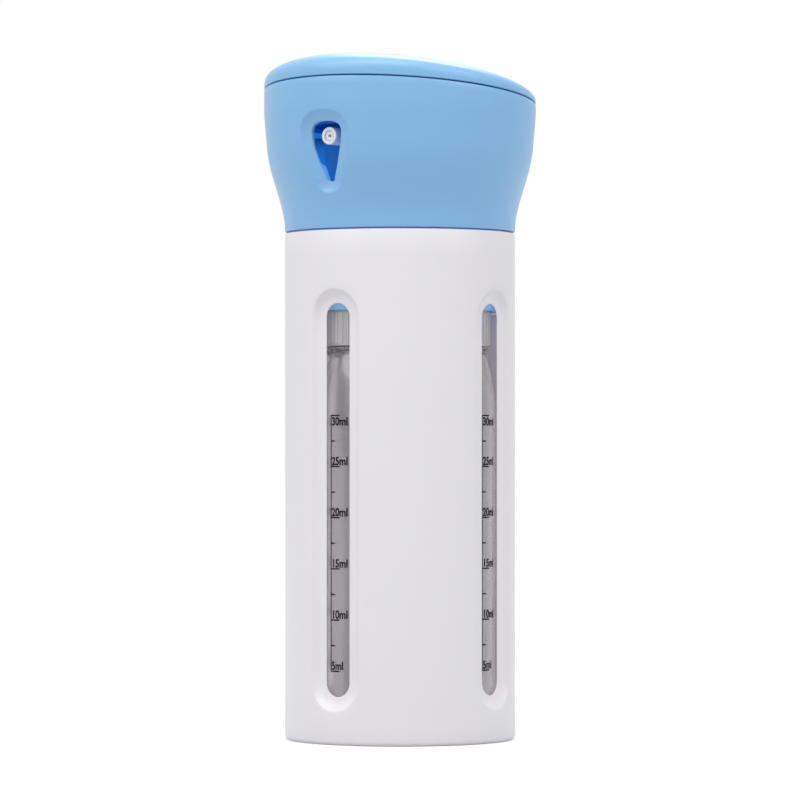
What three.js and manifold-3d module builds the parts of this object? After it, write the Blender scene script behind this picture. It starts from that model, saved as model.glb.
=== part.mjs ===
// Travel dispenser: four refillable pump bottles in a windowed sleeve, under a turning head with a
// press button.
// Millimetres, +Z up. The origin is the centre of the foot, and the outlet looks along -Y.

import * as THREE from 'three'
import { mergeVertices } from 'three/addons/utils/BufferGeometryUtils.js'
import Module from 'manifold-3d'

const wasm = await Module()
wasm.setup()

// Driving sizes of the whole

const BOTTLES = 4
const QUARTER = Math.PI / 2
const SLEEVE_RADIUS = 30.7
const SLEEVE_WALL = 2.0
const SLEEVE_TOP = 134.7
const HEAD_HEIGHT = 36.1 // from the sleeve's top to the seam under the cover, on the axis
const SEAM_GAP = 0.4 // dark line between the sleeve and the head
const BOTTLE_RADIUS = 11.6
const BOTTLE_SPACING = 0.35 // air between one bottle and the next
const SLIDE_GAP = 0.3 // between pieces that slide or turn on each other
const SEAT_GAP = 0.1 // between pieces that rest on each other
const CUT_PAST = 2 // how far a cut runs past what it cuts
const MERGE = 1 // how far a piece runs into the one that it joins

// Facets around a full turn, by the size of the piece
const ROUND_LARGE = 36
const ROUND_BOTTLE = 16
const ROUND_SMALL = 14
const ROUND_TINY = 10
const ROUND_PASSAGE = 8
const WIRE_SIDES = 4
const STEPS_A_TURN = 6 // along a coil spring

// Sleeve: a deep cup with four level windows

const FOOT_HEIGHT = 2.0
const FOOT_WIDTH = 3.4
const FLOOR_THICK = 2.0
const FOOT_ROUND = 1.2
const FOOT_CHAMFER = 0.8
const WINDOW_WIDTH = 7.4
const WINDOW_LOW = 12.5
const WINDOW_HIGH = 115.5
const WINDOW_FLARE = 3.6 // how far the dish spreads round the slot
const WINDOW_LIP = 0.25 // wall left at the slot's edge
const RIB_THICK = 1.6
const RIB_DEPTH = 7.5
const RIB_SINK = 0.4

// Bottle: blown, with a long shoulder and a screw neck

const BOTTLE_WALL = 0.8
const BOTTLE_HEEL = 1.6
const BOTTLE_PUNT = 0.9 // how far the base is pushed in
const SHOULDER_LOW = 88
const SHOULDER_HIGH = 103
const NECK_RADIUS = 8.5
const NECK_WALL = 1.1
const NECK_TOP = 114.5
const BEAD_RADIUS = 9.7
const BEAD_THICK = 1.0
const NECK_FLARE = 0.5 // how much wider the shoulder ends than the neck
const SHOULDER_EXTRA = 0.2 // wall that the shoulder has over the bottle's

// Screw closure, gasket and pump

const CLOSURE_WALL = 1.5
const CLOSURE_BOTTOM = 104.4
const CLOSURE_ROOF = 1.6
const CLOSURE_CHAMFER = 0.6
const THREAD_GAP = 0.4
const GASKET_THICK = 0.8
const GASKET_WIDTH = 2.6
const FLANGE_THICK = 0.9
const BARREL_RADIUS = 5.1
const BARREL_WALL = 1.0
const BARREL_LENGTH = 30
const CONE_LENGTH = 3.2
const NIPPLE_LENGTH = 6
const NIPPLE_WALL = 0.9
const BALL_RADIUS = 1.8
const BALL_SEAT_RADIUS = 1.25
const SEAT_RISE = 0.6 // from the nipple's top to the ball's seat
const SEAT_CONE = 0.5
const SEAT_FLARE = 1.0
const NIPPLE_STOP = 0.4 // ledge that the dip tube stops at
const TUBE_RADIUS = 2.0
const TUBE_BORE = 1.35
const TUBE_OFF_FLOOR = 1.6 // end of the dip tube above the bottle's base
const STEM_RADIUS = 2.6
const STEM_BORE = 1.3
const PISTON_HEIGHT = 4.0
const PISTON_CONE = 1.0
const PISTON_DEPTH = 6 // from the flange down to the piston
const STEM_SHORT = 1.0 // from the stem's end to the outlet's tube
const PISTON_GAP = 0.1
const STROKE = 4.0
const SPRING_WIRE = 0.5
const SPRING_TURNS = 5
const SPRING_SEAT = 2.0 // from the barrel's bottom to the spring

// Carrier: the plate and ring that the pumps hang in

const CARRIER_PLATE = 2.0
const SOCKET_DEPTH = 4.4
const CARRIER_WALL = 1.6
const NECK_RING_HEIGHT = 9.1 // above the sleeve
const NECK_RING_TOP = SLEEVE_TOP + NECK_RING_HEIGHT
const SNAP_BEAD = 0.5
const SNAP_BEAD_HEIGHT = 1.2
const SNAP_BEAD_BELOW = 0.6
const SNAP_BEAD_CHAMFER = 0.4
const WELL_WALL = 1.2 // wall left between the sockets and the well in the middle

// Collar on each pump

const COLLAR_RADIUS = 8.4
const COLLAR_FLANGE = 3.0
const COLLAR_COUNTERBORE = 2.4
const COLLAR_TUBE_RADIUS = 4.5
const COLLAR_CONE_WIDTH = 1.2
const COLLAR_CONE_HEIGHT = 1.4
const COLLAR_NECK = 6

// Head: the flared blue ring that turns

const SEAM_HEIGHT = SLEEVE_TOP + HEAD_HEIGHT
const SEAM_SLOPE = 0.098
const FLARE_RADIUS = 35.65
const FLARE_BELOW_SEAM = 11.8
const FLARE_HEIGHT = SEAM_HEIGHT - FLARE_BELOW_SEAM
const FLARE_START = 8 // length of the curve's straight start, over the sleeve
const FLARE_END = 9 // length of its straight end
const FLARE_LEAN = 0.3 // by how much that end still leans out
const RIM_RADIUS = 36.3
const RIM_GAP = 0.4
const HEAD_LEDGE = 1.5 // ledge that rides on the neck ring
const HEAD_LEDGE_SLOPE = 1.2
const HEAD_THICK_WALL = 5.25 // of the lower part, under the flare
const HEAD_THICK_RADIUS = FLARE_RADIUS - HEAD_THICK_WALL
const HEAD_THICK_BELOW = 7.8 // from the flare down to where the thin wall starts
const HEAD_THICK_TOP = FLARE_HEIGHT - HEAD_THICK_BELOW
const HEAD_THICK_SLOPE = 1.0
const GROOVE_CHAMFER = 0.3
const OUTLET_HEIGHT = FLARE_HEIGHT
const OPENING_ABOVE = 3.8 // from the outlet's middle to the opening's top
const OPENING_HEIGHT = 15.7
const OPENING_TOP = OUTLET_HEIGHT + OPENING_ABOVE
const OPENING_BOTTOM = OPENING_TOP - OPENING_HEIGHT
const OPENING_HALF_WIDTH = 4.65
const OPENING_SHOULDER = 2.6 // from the top down to where it is widest
const OPENING_TIP_RADIUS = 1.3
const OPENING_DISH = 2.3
const OPENING_DISH_DEPTH = 1.5

// Actuator with its outlet tube

const ACTUATOR_RADIUS = 6.5
const ACTUATOR_ABOVE = 2.6 // from the outlet's middle to the top
const ACTUATOR_HEIGHT = 20.1
const ACTUATOR_TOP = OUTLET_HEIGHT + ACTUATOR_ABOVE
const ACTUATOR_BOTTOM = ACTUATOR_TOP - ACTUATOR_HEIGHT
const ACTUATOR_WALL = 1.2
const ACTUATOR_ROOF = 5.0
const ACTUATOR_CHAMFER = 0.8
const STEM_SOCKET_WALL = 1.1
const STEM_SOCKET_LENGTH = 9
const STEM_SOCKET_SINK = 0.5
const OUTLET_RADIUS = 2.3
const OUTLET_BORE = 1.0
const OUTLET_INSET = 2.85 // the outlet's tip, in from the flare
const OUTLET_REACH = FLARE_RADIUS - OUTLET_INSET
const OUTLET_CLEAR = 0.4 // between the tip and the head's wall
const COLLAR_UNDER_ACTUATOR = 3.5
const COLLAR_TOP = ACTUATOR_BOTTOM - COLLAR_UNDER_ACTUATOR

// Cover and press button, which share one leaning dome

const COVER_HEIGHT = 5.6 // above the seam, on the axis
const COVER_TAPER = 0.0125 // share by which it grows for each millimetre towards the outlet
const COVER_CROWN = 0.2 // share by which the middle stands above the shoulder
const COVER_SQUARE = 3 // power of the dome's outline: higher is squarer
const COVER_BROW = 3.5 // root of the dome's outline: higher is steeper
const COVER_WALL = 1.8
const COVER_SKIRT = 1.2
const COVER_SKIRT_LENGTH = 7.4
const COVER_SKIRT_BOTTOM = SEAM_HEIGHT - COVER_SKIRT_LENGTH
const BUTTON_RADIUS = 22
const BUTTON_GAP = 0.3
const BUTTON_WALL = 1.4
const BUTTON_TOP_WALL = 2.1
const BUTTON_BELOW_SEAM = 3.4
const BUTTON_BOTTOM = SEAM_HEIGHT - BUTTON_BELOW_SEAM
const BUTTON_LIP = 0.7
const BUTTON_LIP_HEIGHT = 1.0
const GUIDE_WALL = 1.6
const KEY_WIDTH = 2.4
const KEY_DEPTH = 0.6
const PRESSER_RADIUS = 4.0
const PRESSER_GAP = 0.3
const DISH_RADIUS = 13
const DISH_DEPTH = 0.9

// Spring that lifts the button, on a column in the middle of the carrier

const COLUMN_RADIUS = 5
const COLUMN_WALL = 1.4
const PIN_RADIUS = 2.8
const PIN_HEIGHT = 2.5
const BOSS_BELOW_SEAM = 2.2
const BOSS_BOTTOM = SEAM_HEIGHT - BOSS_BELOW_SEAM
const RETURN_ROOM = 18.6 // for the spring, between the column and the boss
const COLUMN_TOP = BOSS_BOTTOM - RETURN_ROOM
const RETURN_RADIUS = 3.7
const RETURN_WIRE = 0.45
const RETURN_TURNS = 6

// Sizes that follow from the driving ones

const sleeveBore = SLEEVE_RADIUS - SLEEVE_WALL
const floorTop = FOOT_HEIGHT + FLOOR_THICK
const bottleOffset = (BOTTLE_RADIUS + BOTTLE_SPACING / 2) * Math.SQRT2
const bottleBase = floorTop + SLIDE_GAP
const neckBore = NECK_RADIUS - NECK_WALL
const closureBore = NECK_RADIUS + THREAD_GAP
const closureRadius = closureBore + CLOSURE_WALL
const gasketBottom = NECK_TOP + SEAT_GAP
const flangeBottom = gasketBottom + GASKET_THICK + SEAT_GAP
const flangeTop = flangeBottom + FLANGE_THICK
const closureUnder = flangeTop + SEAT_GAP
const closureTop = closureUnder + CLOSURE_ROOF
const plateBottom = closureTop + SLIDE_GAP
const plateTop = plateBottom + CARRIER_PLATE
const barrelBore = BARREL_RADIUS - BARREL_WALL
const barrelBottom = flangeBottom - BARREL_LENGTH
const nippleTop = barrelBottom - CONE_LENGTH
const nippleBottom = nippleTop - NIPPLE_LENGTH
const nippleBore = TUBE_RADIUS + SEAT_GAP
const nippleRadius = nippleBore + NIPPLE_WALL
const collarBottom = plateTop + SEAT_GAP
const housingTop = collarBottom + COLLAR_COUNTERBORE
const pistonTop = flangeBottom - PISTON_DEPTH
const pistonBottom = pistonTop - PISTON_HEIGHT
const carrierRadius = sleeveBore - SLIDE_GAP
const carrierBottom = closureTop - SOCKET_DEPTH
const headBottom = SLEEVE_TOP + SEAM_GAP
const headBore = carrierRadius + SLIDE_GAP + SEAT_GAP
const headLedge = NECK_RING_TOP + SLIDE_GAP
const headInner = OUTLET_REACH + OUTLET_CLEAR
const stemEnd = OUTLET_HEIGHT - OUTLET_RADIUS - STEM_SHORT
const guideRadius = BUTTON_RADIUS + BUTTON_GAP
const lipRadius = BUTTON_RADIUS + BUTTON_LIP
const lipBore = lipRadius + BUTTON_GAP
const lipTop = BUTTON_BOTTOM + BUTTON_LIP_HEIGHT
const guideBottom = BUTTON_BOTTOM - STROKE - SLIDE_GAP
const skirtOuter = headInner - SLIDE_GAP
const skirtInner = skirtOuter - COVER_SKIRT
const outletLength = OUTLET_REACH - bottleOffset

// Materials

function material(color, roughness, extra = {}) {
  return new THREE.MeshStandardMaterial({ color, roughness, metalness: 0, ...extra })
}

const whiteAbs = material('#e9e9ec', 0.45)
const blueAbs = material('#82b8e6', 0.45)
const clearPet = material('#dfe4e6', 0.1, { transparent: true, opacity: 0.35 })
const naturalPp = material('#e4e8e8', 0.35, { transparent: true, opacity: 0.75 })
const whitePp = material('#f4f5f5', 0.35)
const siliconeRubber = material('#d8dcdd', 0.6)
const springSteel = material('#b9bcc0', 0.3, { metalness: 1 })

// Turning shapes into solids and back

function solid(geometry) {
  const bare = geometry.clone()
  bare.deleteAttribute('normal')
  bare.deleteAttribute('uv')
  const merged = mergeVertices(bare, 1e-4)
  const mesh = new wasm.Mesh({
    numProp: 3,
    vertProperties: new Float32Array(merged.attributes.position.array),
    triVerts: new Uint32Array(merged.index.array),
  })
  return new wasm.Manifold(mesh)
}

function geometryOf(body) {
  const mesh = body.getMesh()
  const geometry = new THREE.BufferGeometry()
  geometry.setAttribute('position', new THREE.BufferAttribute(new Float32Array(mesh.vertProperties), 3))
  geometry.setIndex(new THREE.BufferAttribute(new Uint32Array(mesh.triVerts), 1))
  geometry.computeVertexNormals()
  return geometry
}

// A profile of [radius, height] points turned round +Z, starting at -Y. It runs up the outside and
// down the inside.
function turned(points, facets) {
  const profile = points.map(([radius, height]) => new THREE.Vector2(radius, height))
  return new THREE.LatheGeometry(profile, facets).rotateX(Math.PI / 2)
}

function ring(inner, outer, low, high, facets) {
  return turned([[inner, low], [outer, low], [outer, high], [inner, high], [inner, low]], facets)
}

function disc(radius, low, high, facets) {
  return turned([[0, low], [radius, low], [radius, high], [0, high]], facets)
}

// A flat shape in X and Z, swept along -Y from one distance off the axis to a further one.
function sweptOut(shape, near, far, bevel = {}) {
  const options = { depth: far - near, bevelEnabled: false, curveSegments: 4, ...bevel }
  const geometry = new THREE.ExtrudeGeometry(shape, options)
  return geometry.rotateX(Math.PI / 2).translate(0, -near, 0)
}

// Sweep settings that round a cut out to a dish
function dishBevel(depth, spread) {
  return { bevelEnabled: true, bevelThickness: depth, bevelSize: spread, bevelSegments: 3 }
}

function copiesAround(body) {
  return Array.from({ length: BOTTLES }, (_, i) => body.rotate([0, 0, (i * 360) / BOTTLES]))
}

function united(bodies) {
  return bodies.reduce((whole, body) => whole.add(body))
}

function arcPoints(centreRadius, centreHeight, radius, from, to, steps) {
  return Array.from({ length: steps + 1 }, (_, i) => {
    const angle = from + ((to - from) * i) / steps
    return [centreRadius + radius * Math.cos(angle), centreHeight + radius * Math.sin(angle)]
  })
}

// A coil spring about +Z with closed, round ends
function coil(radius, wire, low, high, turns) {
  class Helix extends THREE.Curve {
    getPoint(t, target = new THREE.Vector3()) {
      const angle = t * turns * 2 * Math.PI
      const height = low + wire + t * (high - low - 2 * wire)
      return target.set(radius * Math.cos(angle), radius * Math.sin(angle), height)
    }
  }
  const section = new THREE.Shape()
  section.absarc(0, 0, wire, 0, 2 * Math.PI)
  const points = section.getSpacedPoints(WIRE_SIDES).slice(0, WIRE_SIDES)
  return new THREE.ExtrudeGeometry(new THREE.Shape(points), {
    steps: turns * STEPS_A_TURN,
    extrudePath: new Helix(),
    curveSegments: 1,
  })
}

// Sleeve

function windowShape() {
  const half = WINDOW_WIDTH / 2
  const shape = new THREE.Shape()
  shape.moveTo(half, WINDOW_LOW + half)
  shape.lineTo(half, WINDOW_HIGH - half)
  shape.absarc(0, WINDOW_HIGH - half, half, 0, Math.PI)
  shape.lineTo(-half, WINDOW_LOW + half)
  shape.absarc(0, WINDOW_LOW + half, half, Math.PI, 2 * Math.PI)
  return shape
}

// The dish round a window: narrow at the slot, bowed out to its full spread at the surface
function windowDish() {
  const depth = SLEEVE_WALL - WINDOW_LIP
  const bevel = dishBevel(depth, WINDOW_FLARE)
  return solid(sweptOut(windowShape(), SLEEVE_RADIUS, SLEEVE_RADIUS + depth, bevel))
}

function sleeve() {
  const foot = SLEEVE_RADIUS - FOOT_WIDTH
  const cup = solid(turned([
    [0, FOOT_HEIGHT], [foot, FOOT_HEIGHT], [foot + FOOT_CHAMFER, 0],
    ...arcPoints(SLEEVE_RADIUS - FOOT_ROUND, FOOT_ROUND, FOOT_ROUND, -QUARTER, 0, 3),
    [SLEEVE_RADIUS, SLEEVE_TOP], [sleeveBore, SLEEVE_TOP], [sleeveBore, floorTop], [0, floorTop],
  ], ROUND_LARGE))
  const slot = solid(sweptOut(windowShape(), sleeveBore - CUT_PAST, SLEEVE_RADIUS + CUT_PAST))
  const ribTop = carrierBottom - SLIDE_GAP
  const rib = solid(new THREE.BoxGeometry(RIB_THICK, RIB_DEPTH, ribTop - floorTop)
    .translate(0, -(sleeveBore - RIB_DEPTH / 2 + RIB_SINK), (ribTop + floorTop) / 2))
  const ribs = united(copiesAround(rib.rotate([0, 0, 45])))
  return cup.add(ribs).subtract(united(copiesAround(slot.add(windowDish()))))
}

// Bottle and what closes it, each about its own axis

function bottle() {
  const base = bottleBase
  const inner = BOTTLE_RADIUS - BOTTLE_WALL
  const neckFoot = NECK_RADIUS + NECK_FLARE
  const rise = SHOULDER_HIGH - SHOULDER_LOW
  const shoulder = (drop, share) => [BOTTLE_RADIUS - drop * share * share, SHOULDER_LOW + rise * share]
  const outside = [0, 0.5, 1].map((share) => shoulder(BOTTLE_RADIUS - neckFoot, share))
  const inside = [1, 0.55, 0].map((share) => shoulder(BOTTLE_RADIUS - neckFoot, share))
    .map(([radius, height]) => [radius - BOTTLE_WALL - SHOULDER_EXTRA, height])
  return solid(turned([
    [0, base + BOTTLE_PUNT], [inner - BOTTLE_HEEL, base],
    ...arcPoints(BOTTLE_RADIUS - BOTTLE_HEEL, base + BOTTLE_HEEL, BOTTLE_HEEL, -QUARTER, 0, 2),
    ...outside,
    [BEAD_RADIUS, SHOULDER_HIGH + SEAT_GAP], [BEAD_RADIUS, SHOULDER_HIGH + BEAD_THICK],
    [NECK_RADIUS, SHOULDER_HIGH + BEAD_THICK], [NECK_RADIUS, NECK_TOP], [neckBore, NECK_TOP],
    ...inside.map(([radius, height]) => [Math.max(radius, neckBore), height]),
    [inner, base + BOTTLE_HEEL + BOTTLE_WALL], [inner - BOTTLE_HEEL, base + BOTTLE_PUNT + BOTTLE_WALL],
    [0, base + BOTTLE_PUNT + BOTTLE_WALL],
  ], ROUND_BOTTLE))
}

function closure() {
  return solid(turned([
    [closureBore, CLOSURE_BOTTOM], [closureRadius, CLOSURE_BOTTOM],
    [closureRadius, closureTop - CLOSURE_CHAMFER],
    [closureRadius - CLOSURE_CHAMFER, closureTop], [BARREL_RADIUS + SLIDE_GAP, closureTop],
    [BARREL_RADIUS + SLIDE_GAP, closureUnder], [closureBore, closureUnder], [closureBore, CLOSURE_BOTTOM],
  ], ROUND_SMALL))
}

function gasket() {
  const outer = NECK_RADIUS - SEAT_GAP
  return solid(ring(outer - GASKET_WIDTH, outer, gasketBottom, gasketBottom + GASKET_THICK, ROUND_TINY))
}

// Pump: housing, ball, spring, piston stem and dip tube

function pumpHousing() {
  return solid(turned([
    [nippleBore, nippleBottom], [nippleRadius, nippleBottom], [nippleRadius, nippleTop],
    [BARREL_RADIUS, barrelBottom], [BARREL_RADIUS, flangeBottom],
    [NECK_RADIUS - SEAT_GAP, flangeBottom], [NECK_RADIUS - SEAT_GAP, flangeTop],
    [BARREL_RADIUS, flangeTop], [BARREL_RADIUS, housingTop], [barrelBore, housingTop],
    [barrelBore, barrelBottom + SEAT_RISE],
    [BALL_SEAT_RADIUS + SEAT_FLARE, nippleTop + SEAT_RISE + SEAT_CONE],
    [BALL_SEAT_RADIUS, nippleTop + SEAT_RISE], [BALL_SEAT_RADIUS, nippleTop - NIPPLE_STOP],
    [nippleBore, nippleTop - NIPPLE_STOP], [nippleBore, nippleBottom],
  ], ROUND_TINY))
}

function valveBall() {
  const lift = Math.sqrt(BALL_RADIUS ** 2 - BALL_SEAT_RADIUS ** 2)
  const height = nippleTop + SEAT_RISE + lift + 2 * SEAT_GAP
  return solid(new THREE.SphereGeometry(BALL_RADIUS, 8, 6).translate(0, 0, height))
}

function dipTube() {
  const low = bottleBase + BOTTLE_PUNT + BOTTLE_WALL + TUBE_OFF_FLOOR
  return solid(ring(TUBE_BORE, TUBE_RADIUS, low, nippleTop - NIPPLE_STOP - SEAT_GAP, ROUND_TINY))
}

function pistonStem() {
  const piston = barrelBore - PISTON_GAP
  return solid(turned([
    [STEM_BORE, pistonBottom], [piston, pistonBottom], [piston, pistonTop],
    [STEM_RADIUS, pistonTop + PISTON_CONE],
    [STEM_RADIUS, stemEnd], [STEM_BORE, stemEnd], [STEM_BORE, pistonBottom],
  ], ROUND_TINY))
}

function pumpSpring() {
  const low = barrelBottom + SPRING_SEAT
  const radius = barrelBore - SPRING_WIRE - SLIDE_GAP
  return solid(coil(radius, SPRING_WIRE, low, pistonBottom - SEAT_GAP, SPRING_TURNS))
}

function collar() {
  const bore = BARREL_RADIUS + SLIDE_GAP
  const counterTop = housingTop + SEAT_GAP
  return solid(turned([
    [bore, collarBottom], [COLLAR_RADIUS, collarBottom], [COLLAR_RADIUS, collarBottom + COLLAR_FLANGE],
    [COLLAR_TUBE_RADIUS + COLLAR_CONE_WIDTH, collarBottom + COLLAR_FLANGE + COLLAR_CONE_HEIGHT],
    [COLLAR_TUBE_RADIUS, COLLAR_TOP - COLLAR_NECK],
    [COLLAR_TUBE_RADIUS, COLLAR_TOP], [STEM_RADIUS + SLIDE_GAP, COLLAR_TOP],
    [STEM_RADIUS + SLIDE_GAP, counterTop], [bore, counterTop], [bore, collarBottom],
  ], ROUND_TINY))
}

// The actuator's own axis is the pump's. Its outlet points along -Y.
function actuator() {
  const roofUnder = ACTUATOR_TOP - ACTUATOR_ROOF
  const shell = solid(turned([
    [ACTUATOR_RADIUS - ACTUATOR_WALL, ACTUATOR_BOTTOM], [ACTUATOR_RADIUS, ACTUATOR_BOTTOM],
    [ACTUATOR_RADIUS, ACTUATOR_TOP - ACTUATOR_CHAMFER],
    [ACTUATOR_RADIUS - ACTUATOR_CHAMFER, ACTUATOR_TOP], [0, ACTUATOR_TOP],
    [0, roofUnder], [ACTUATOR_RADIUS - ACTUATOR_WALL, roofUnder],
    [ACTUATOR_RADIUS - ACTUATOR_WALL, ACTUATOR_BOTTOM],
  ], ROUND_SMALL))
  const socketBore = STEM_RADIUS + SEAT_GAP
  const socketLow = roofUnder - STEM_SOCKET_LENGTH
  const socketOuter = socketBore + STEM_SOCKET_WALL
  const socket = solid(ring(socketBore, socketOuter, socketLow, roofUnder + STEM_SOCKET_SINK, ROUND_TINY))
  const tube = solid(disc(OUTLET_RADIUS, 0, outletLength, ROUND_SMALL).rotateX(QUARTER)
    .translate(0, 0, OUTLET_HEIGHT))
  const passage = solid(disc(OUTLET_BORE, 0, outletLength + MERGE, ROUND_PASSAGE).rotateX(QUARTER)
    .translate(0, 0, OUTLET_HEIGHT))
  const riser = solid(disc(OUTLET_BORE, roofUnder - MERGE, OUTLET_HEIGHT + OUTLET_BORE, ROUND_PASSAGE))
  const pocket = solid(disc(socketBore, socketLow, stemEnd + SEAT_GAP, ROUND_TINY))
  return shell.add(socket).add(tube).subtract(passage).subtract(riser).subtract(pocket)
}

// Carrier: plate with four sockets, and the ring that the head turns on

function carrier() {
  const ringBore = carrierRadius - CARRIER_WALL
  const beadTop = NECK_RING_TOP - SNAP_BEAD_BELOW
  const beadLow = beadTop - SNAP_BEAD_HEIGHT
  const cup = solid(turned([
    [0, carrierBottom], [carrierRadius, carrierBottom], [carrierRadius, beadLow],
    [carrierRadius + SNAP_BEAD, beadLow + SNAP_BEAD_CHAMFER],
    [carrierRadius + SNAP_BEAD, beadTop - SNAP_BEAD_CHAMFER],
    [carrierRadius, beadTop], [carrierRadius, NECK_RING_TOP], [ringBore, NECK_RING_TOP],
    [ringBore, plateTop], [0, plateTop],
  ], ROUND_LARGE))
  const socket = solid(disc(closureRadius + SLIDE_GAP, carrierBottom - MERGE, plateBottom, ROUND_BOTTLE)
    .translate(0, -bottleOffset, 0))
  const hole = solid(disc(BARREL_RADIUS + SLIDE_GAP, carrierBottom - MERGE, plateTop + MERGE, ROUND_TINY)
    .translate(0, -bottleOffset, 0))
  const middleRadius = bottleOffset - closureRadius - WELL_WALL
  const middle = solid(disc(middleRadius, carrierBottom - MERGE, plateBottom, ROUND_SMALL))
  const column = solid(turned([
    [0, plateTop - MERGE], [COLUMN_RADIUS, plateTop - MERGE], [COLUMN_RADIUS, COLUMN_TOP],
    [PIN_RADIUS, COLUMN_TOP],
    [PIN_RADIUS, COLUMN_TOP + PIN_HEIGHT], [0, COLUMN_TOP + PIN_HEIGHT],
  ], ROUND_SMALL))
  const coreTop = COLUMN_TOP - COLUMN_WALL
  const core = solid(disc(COLUMN_RADIUS - COLUMN_WALL, carrierBottom - MERGE, coreTop, ROUND_SMALL))
  return cup.add(column).subtract(united(copiesAround(socket.add(hole)))).subtract(middle).subtract(core)
}

// Head

// The outer line of the head, from the seam with the sleeve up to the flare
function headOutline(steps) {
  const curve = new THREE.CubicBezierCurve(
    new THREE.Vector2(SLEEVE_RADIUS, headBottom), new THREE.Vector2(SLEEVE_RADIUS, headBottom + FLARE_START),
    new THREE.Vector2(FLARE_RADIUS - FLARE_LEAN, FLARE_HEIGHT - FLARE_END),
    new THREE.Vector2(FLARE_RADIUS, FLARE_HEIGHT),
  )
  return curve.getPoints(steps).map((point) => [point.x, point.y])
}

// The outlet opening: broad and round at the top, drawn down to a small round tip
function openingShape() {
  const widest = OPENING_TOP - OPENING_SHOULDER
  const tip = OPENING_BOTTOM + OPENING_TIP_RADIUS * 0.8
  const side = OPENING_HALF_WIDTH
  const shape = new THREE.Shape()
  shape.moveTo(OPENING_TIP_RADIUS, tip)
  shape.bezierCurveTo(side * 0.62, tip + 3.4, side, widest - 3.7, side, widest)
  shape.bezierCurveTo(side, OPENING_TOP - 0.6, side * 0.6, OPENING_TOP, 0, OPENING_TOP)
  shape.bezierCurveTo(-side * 0.6, OPENING_TOP, -side, OPENING_TOP - 0.6, -side, widest)
  shape.bezierCurveTo(-side, widest - 3.7, -side * 0.62, tip + 3.4, -OPENING_TIP_RADIUS, tip)
  shape.quadraticCurveTo(-OPENING_TIP_RADIUS, OPENING_BOTTOM, 0, OPENING_BOTTOM)
  shape.quadraticCurveTo(OPENING_TIP_RADIUS, OPENING_BOTTOM, OPENING_TIP_RADIUS, tip)
  return shape
}

// A block that fills everything above the tilted seam, raised by an offset
function aboveSeam(offset) {
  const size = 4 * RIM_RADIUS
  const tilt = Math.atan(SEAM_SLOPE)
  const lift = size / 2 + offset
  return solid(new THREE.BoxGeometry(size, size, size).translate(0, 0, lift)
    .rotateX(-tilt).translate(0, 0, SEAM_HEIGHT))
}

function headShell() {
  const beadTop = NECK_RING_TOP - SNAP_BEAD_BELOW
  const grooveLow = beadTop - SNAP_BEAD_HEIGHT - SLIDE_GAP
  const grooveTop = beadTop + SLIDE_GAP
  const groove = headBore + SNAP_BEAD
  const rise = RIM_RADIUS * SEAM_SLOPE + MERGE
  const ledgeTop = headLedge + HEAD_LEDGE
  const wall = solid(turned([
    [headBore, headBottom], ...headOutline(7), [RIM_RADIUS, SEAM_HEIGHT - rise],
    [RIM_RADIUS, SEAM_HEIGHT + rise], [headInner, SEAM_HEIGHT + rise],
    [headInner, HEAD_THICK_TOP + HEAD_THICK_SLOPE], [HEAD_THICK_RADIUS, HEAD_THICK_TOP],
    [HEAD_THICK_RADIUS, ledgeTop + HEAD_LEDGE_SLOPE], [headBore - HEAD_LEDGE, ledgeTop],
    [headBore - HEAD_LEDGE, headLedge], [headBore, headLedge], [headBore, grooveTop],
    [groove, grooveTop - GROOVE_CHAMFER], [groove, grooveLow + GROOVE_CHAMFER], [headBore, grooveLow],
    [headBore, headBottom],
  ], ROUND_LARGE))
  const opening = solid(sweptOut(openingShape(), headBore - CUT_PAST, RIM_RADIUS + CUT_PAST))
  const bevel = dishBevel(OPENING_DISH_DEPTH, OPENING_DISH)
  const dish = solid(sweptOut(openingShape(), FLARE_RADIUS, FLARE_RADIUS + CUT_PAST, bevel))
  return wall.subtract(aboveSeam(0)).subtract(opening).subtract(dish)
}

// Cover and button share one leaning dome

// Leans a shape whose height is 0 at the seam and 1 at the dome's shoulder. Heights below 0 drop
// to a level base.
function leaned(geometry, offset, base) {
  const position = geometry.attributes.position
  for (let i = 0; i < position.count; i += 1) {
    const share = position.getZ(i)
    const forward = -position.getY(i)
    const height = COVER_HEIGHT * (1 + COVER_TAPER * forward) * share
    position.setZ(i, share < 0 ? base : SEAM_HEIGHT + SEAM_SLOPE * forward + height + offset)
  }
  return geometry
}

function domeShare(share) {
  const shoulder = (1 - share ** COVER_SQUARE) ** (1 / COVER_BROW)
  return shoulder + COVER_CROWN * (1 - share ** 2)
}

// Everything under the dome's surface, shifted by an offset, down to a level base
function underDome(radius, offset, base) {
  const shares = [1, 0.98, 0.9, 0.75, 0.5]
  const arch = shares.map((share) => [radius * share, domeShare(share)])
  return solid(leaned(turned([[0, -1],
  [radius, -1], ...arch, [0, domeShare(0)]], ROUND_LARGE), offset, base))
}

function cylinder(radius, low, high, facets = ROUND_LARGE) {
  return solid(disc(radius, low, high, facets))
}

// A bar across the axis along X, as long as the keys on the button's lip
function keyBar(clearance, low, high) {
  const reach = 2 * (lipRadius + KEY_DEPTH + clearance)
  const bar = new THREE.BoxGeometry(reach, KEY_WIDTH + 2 * clearance, high - low)
  return solid(bar.translate(0, 0, (low + high) / 2))
}

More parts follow.
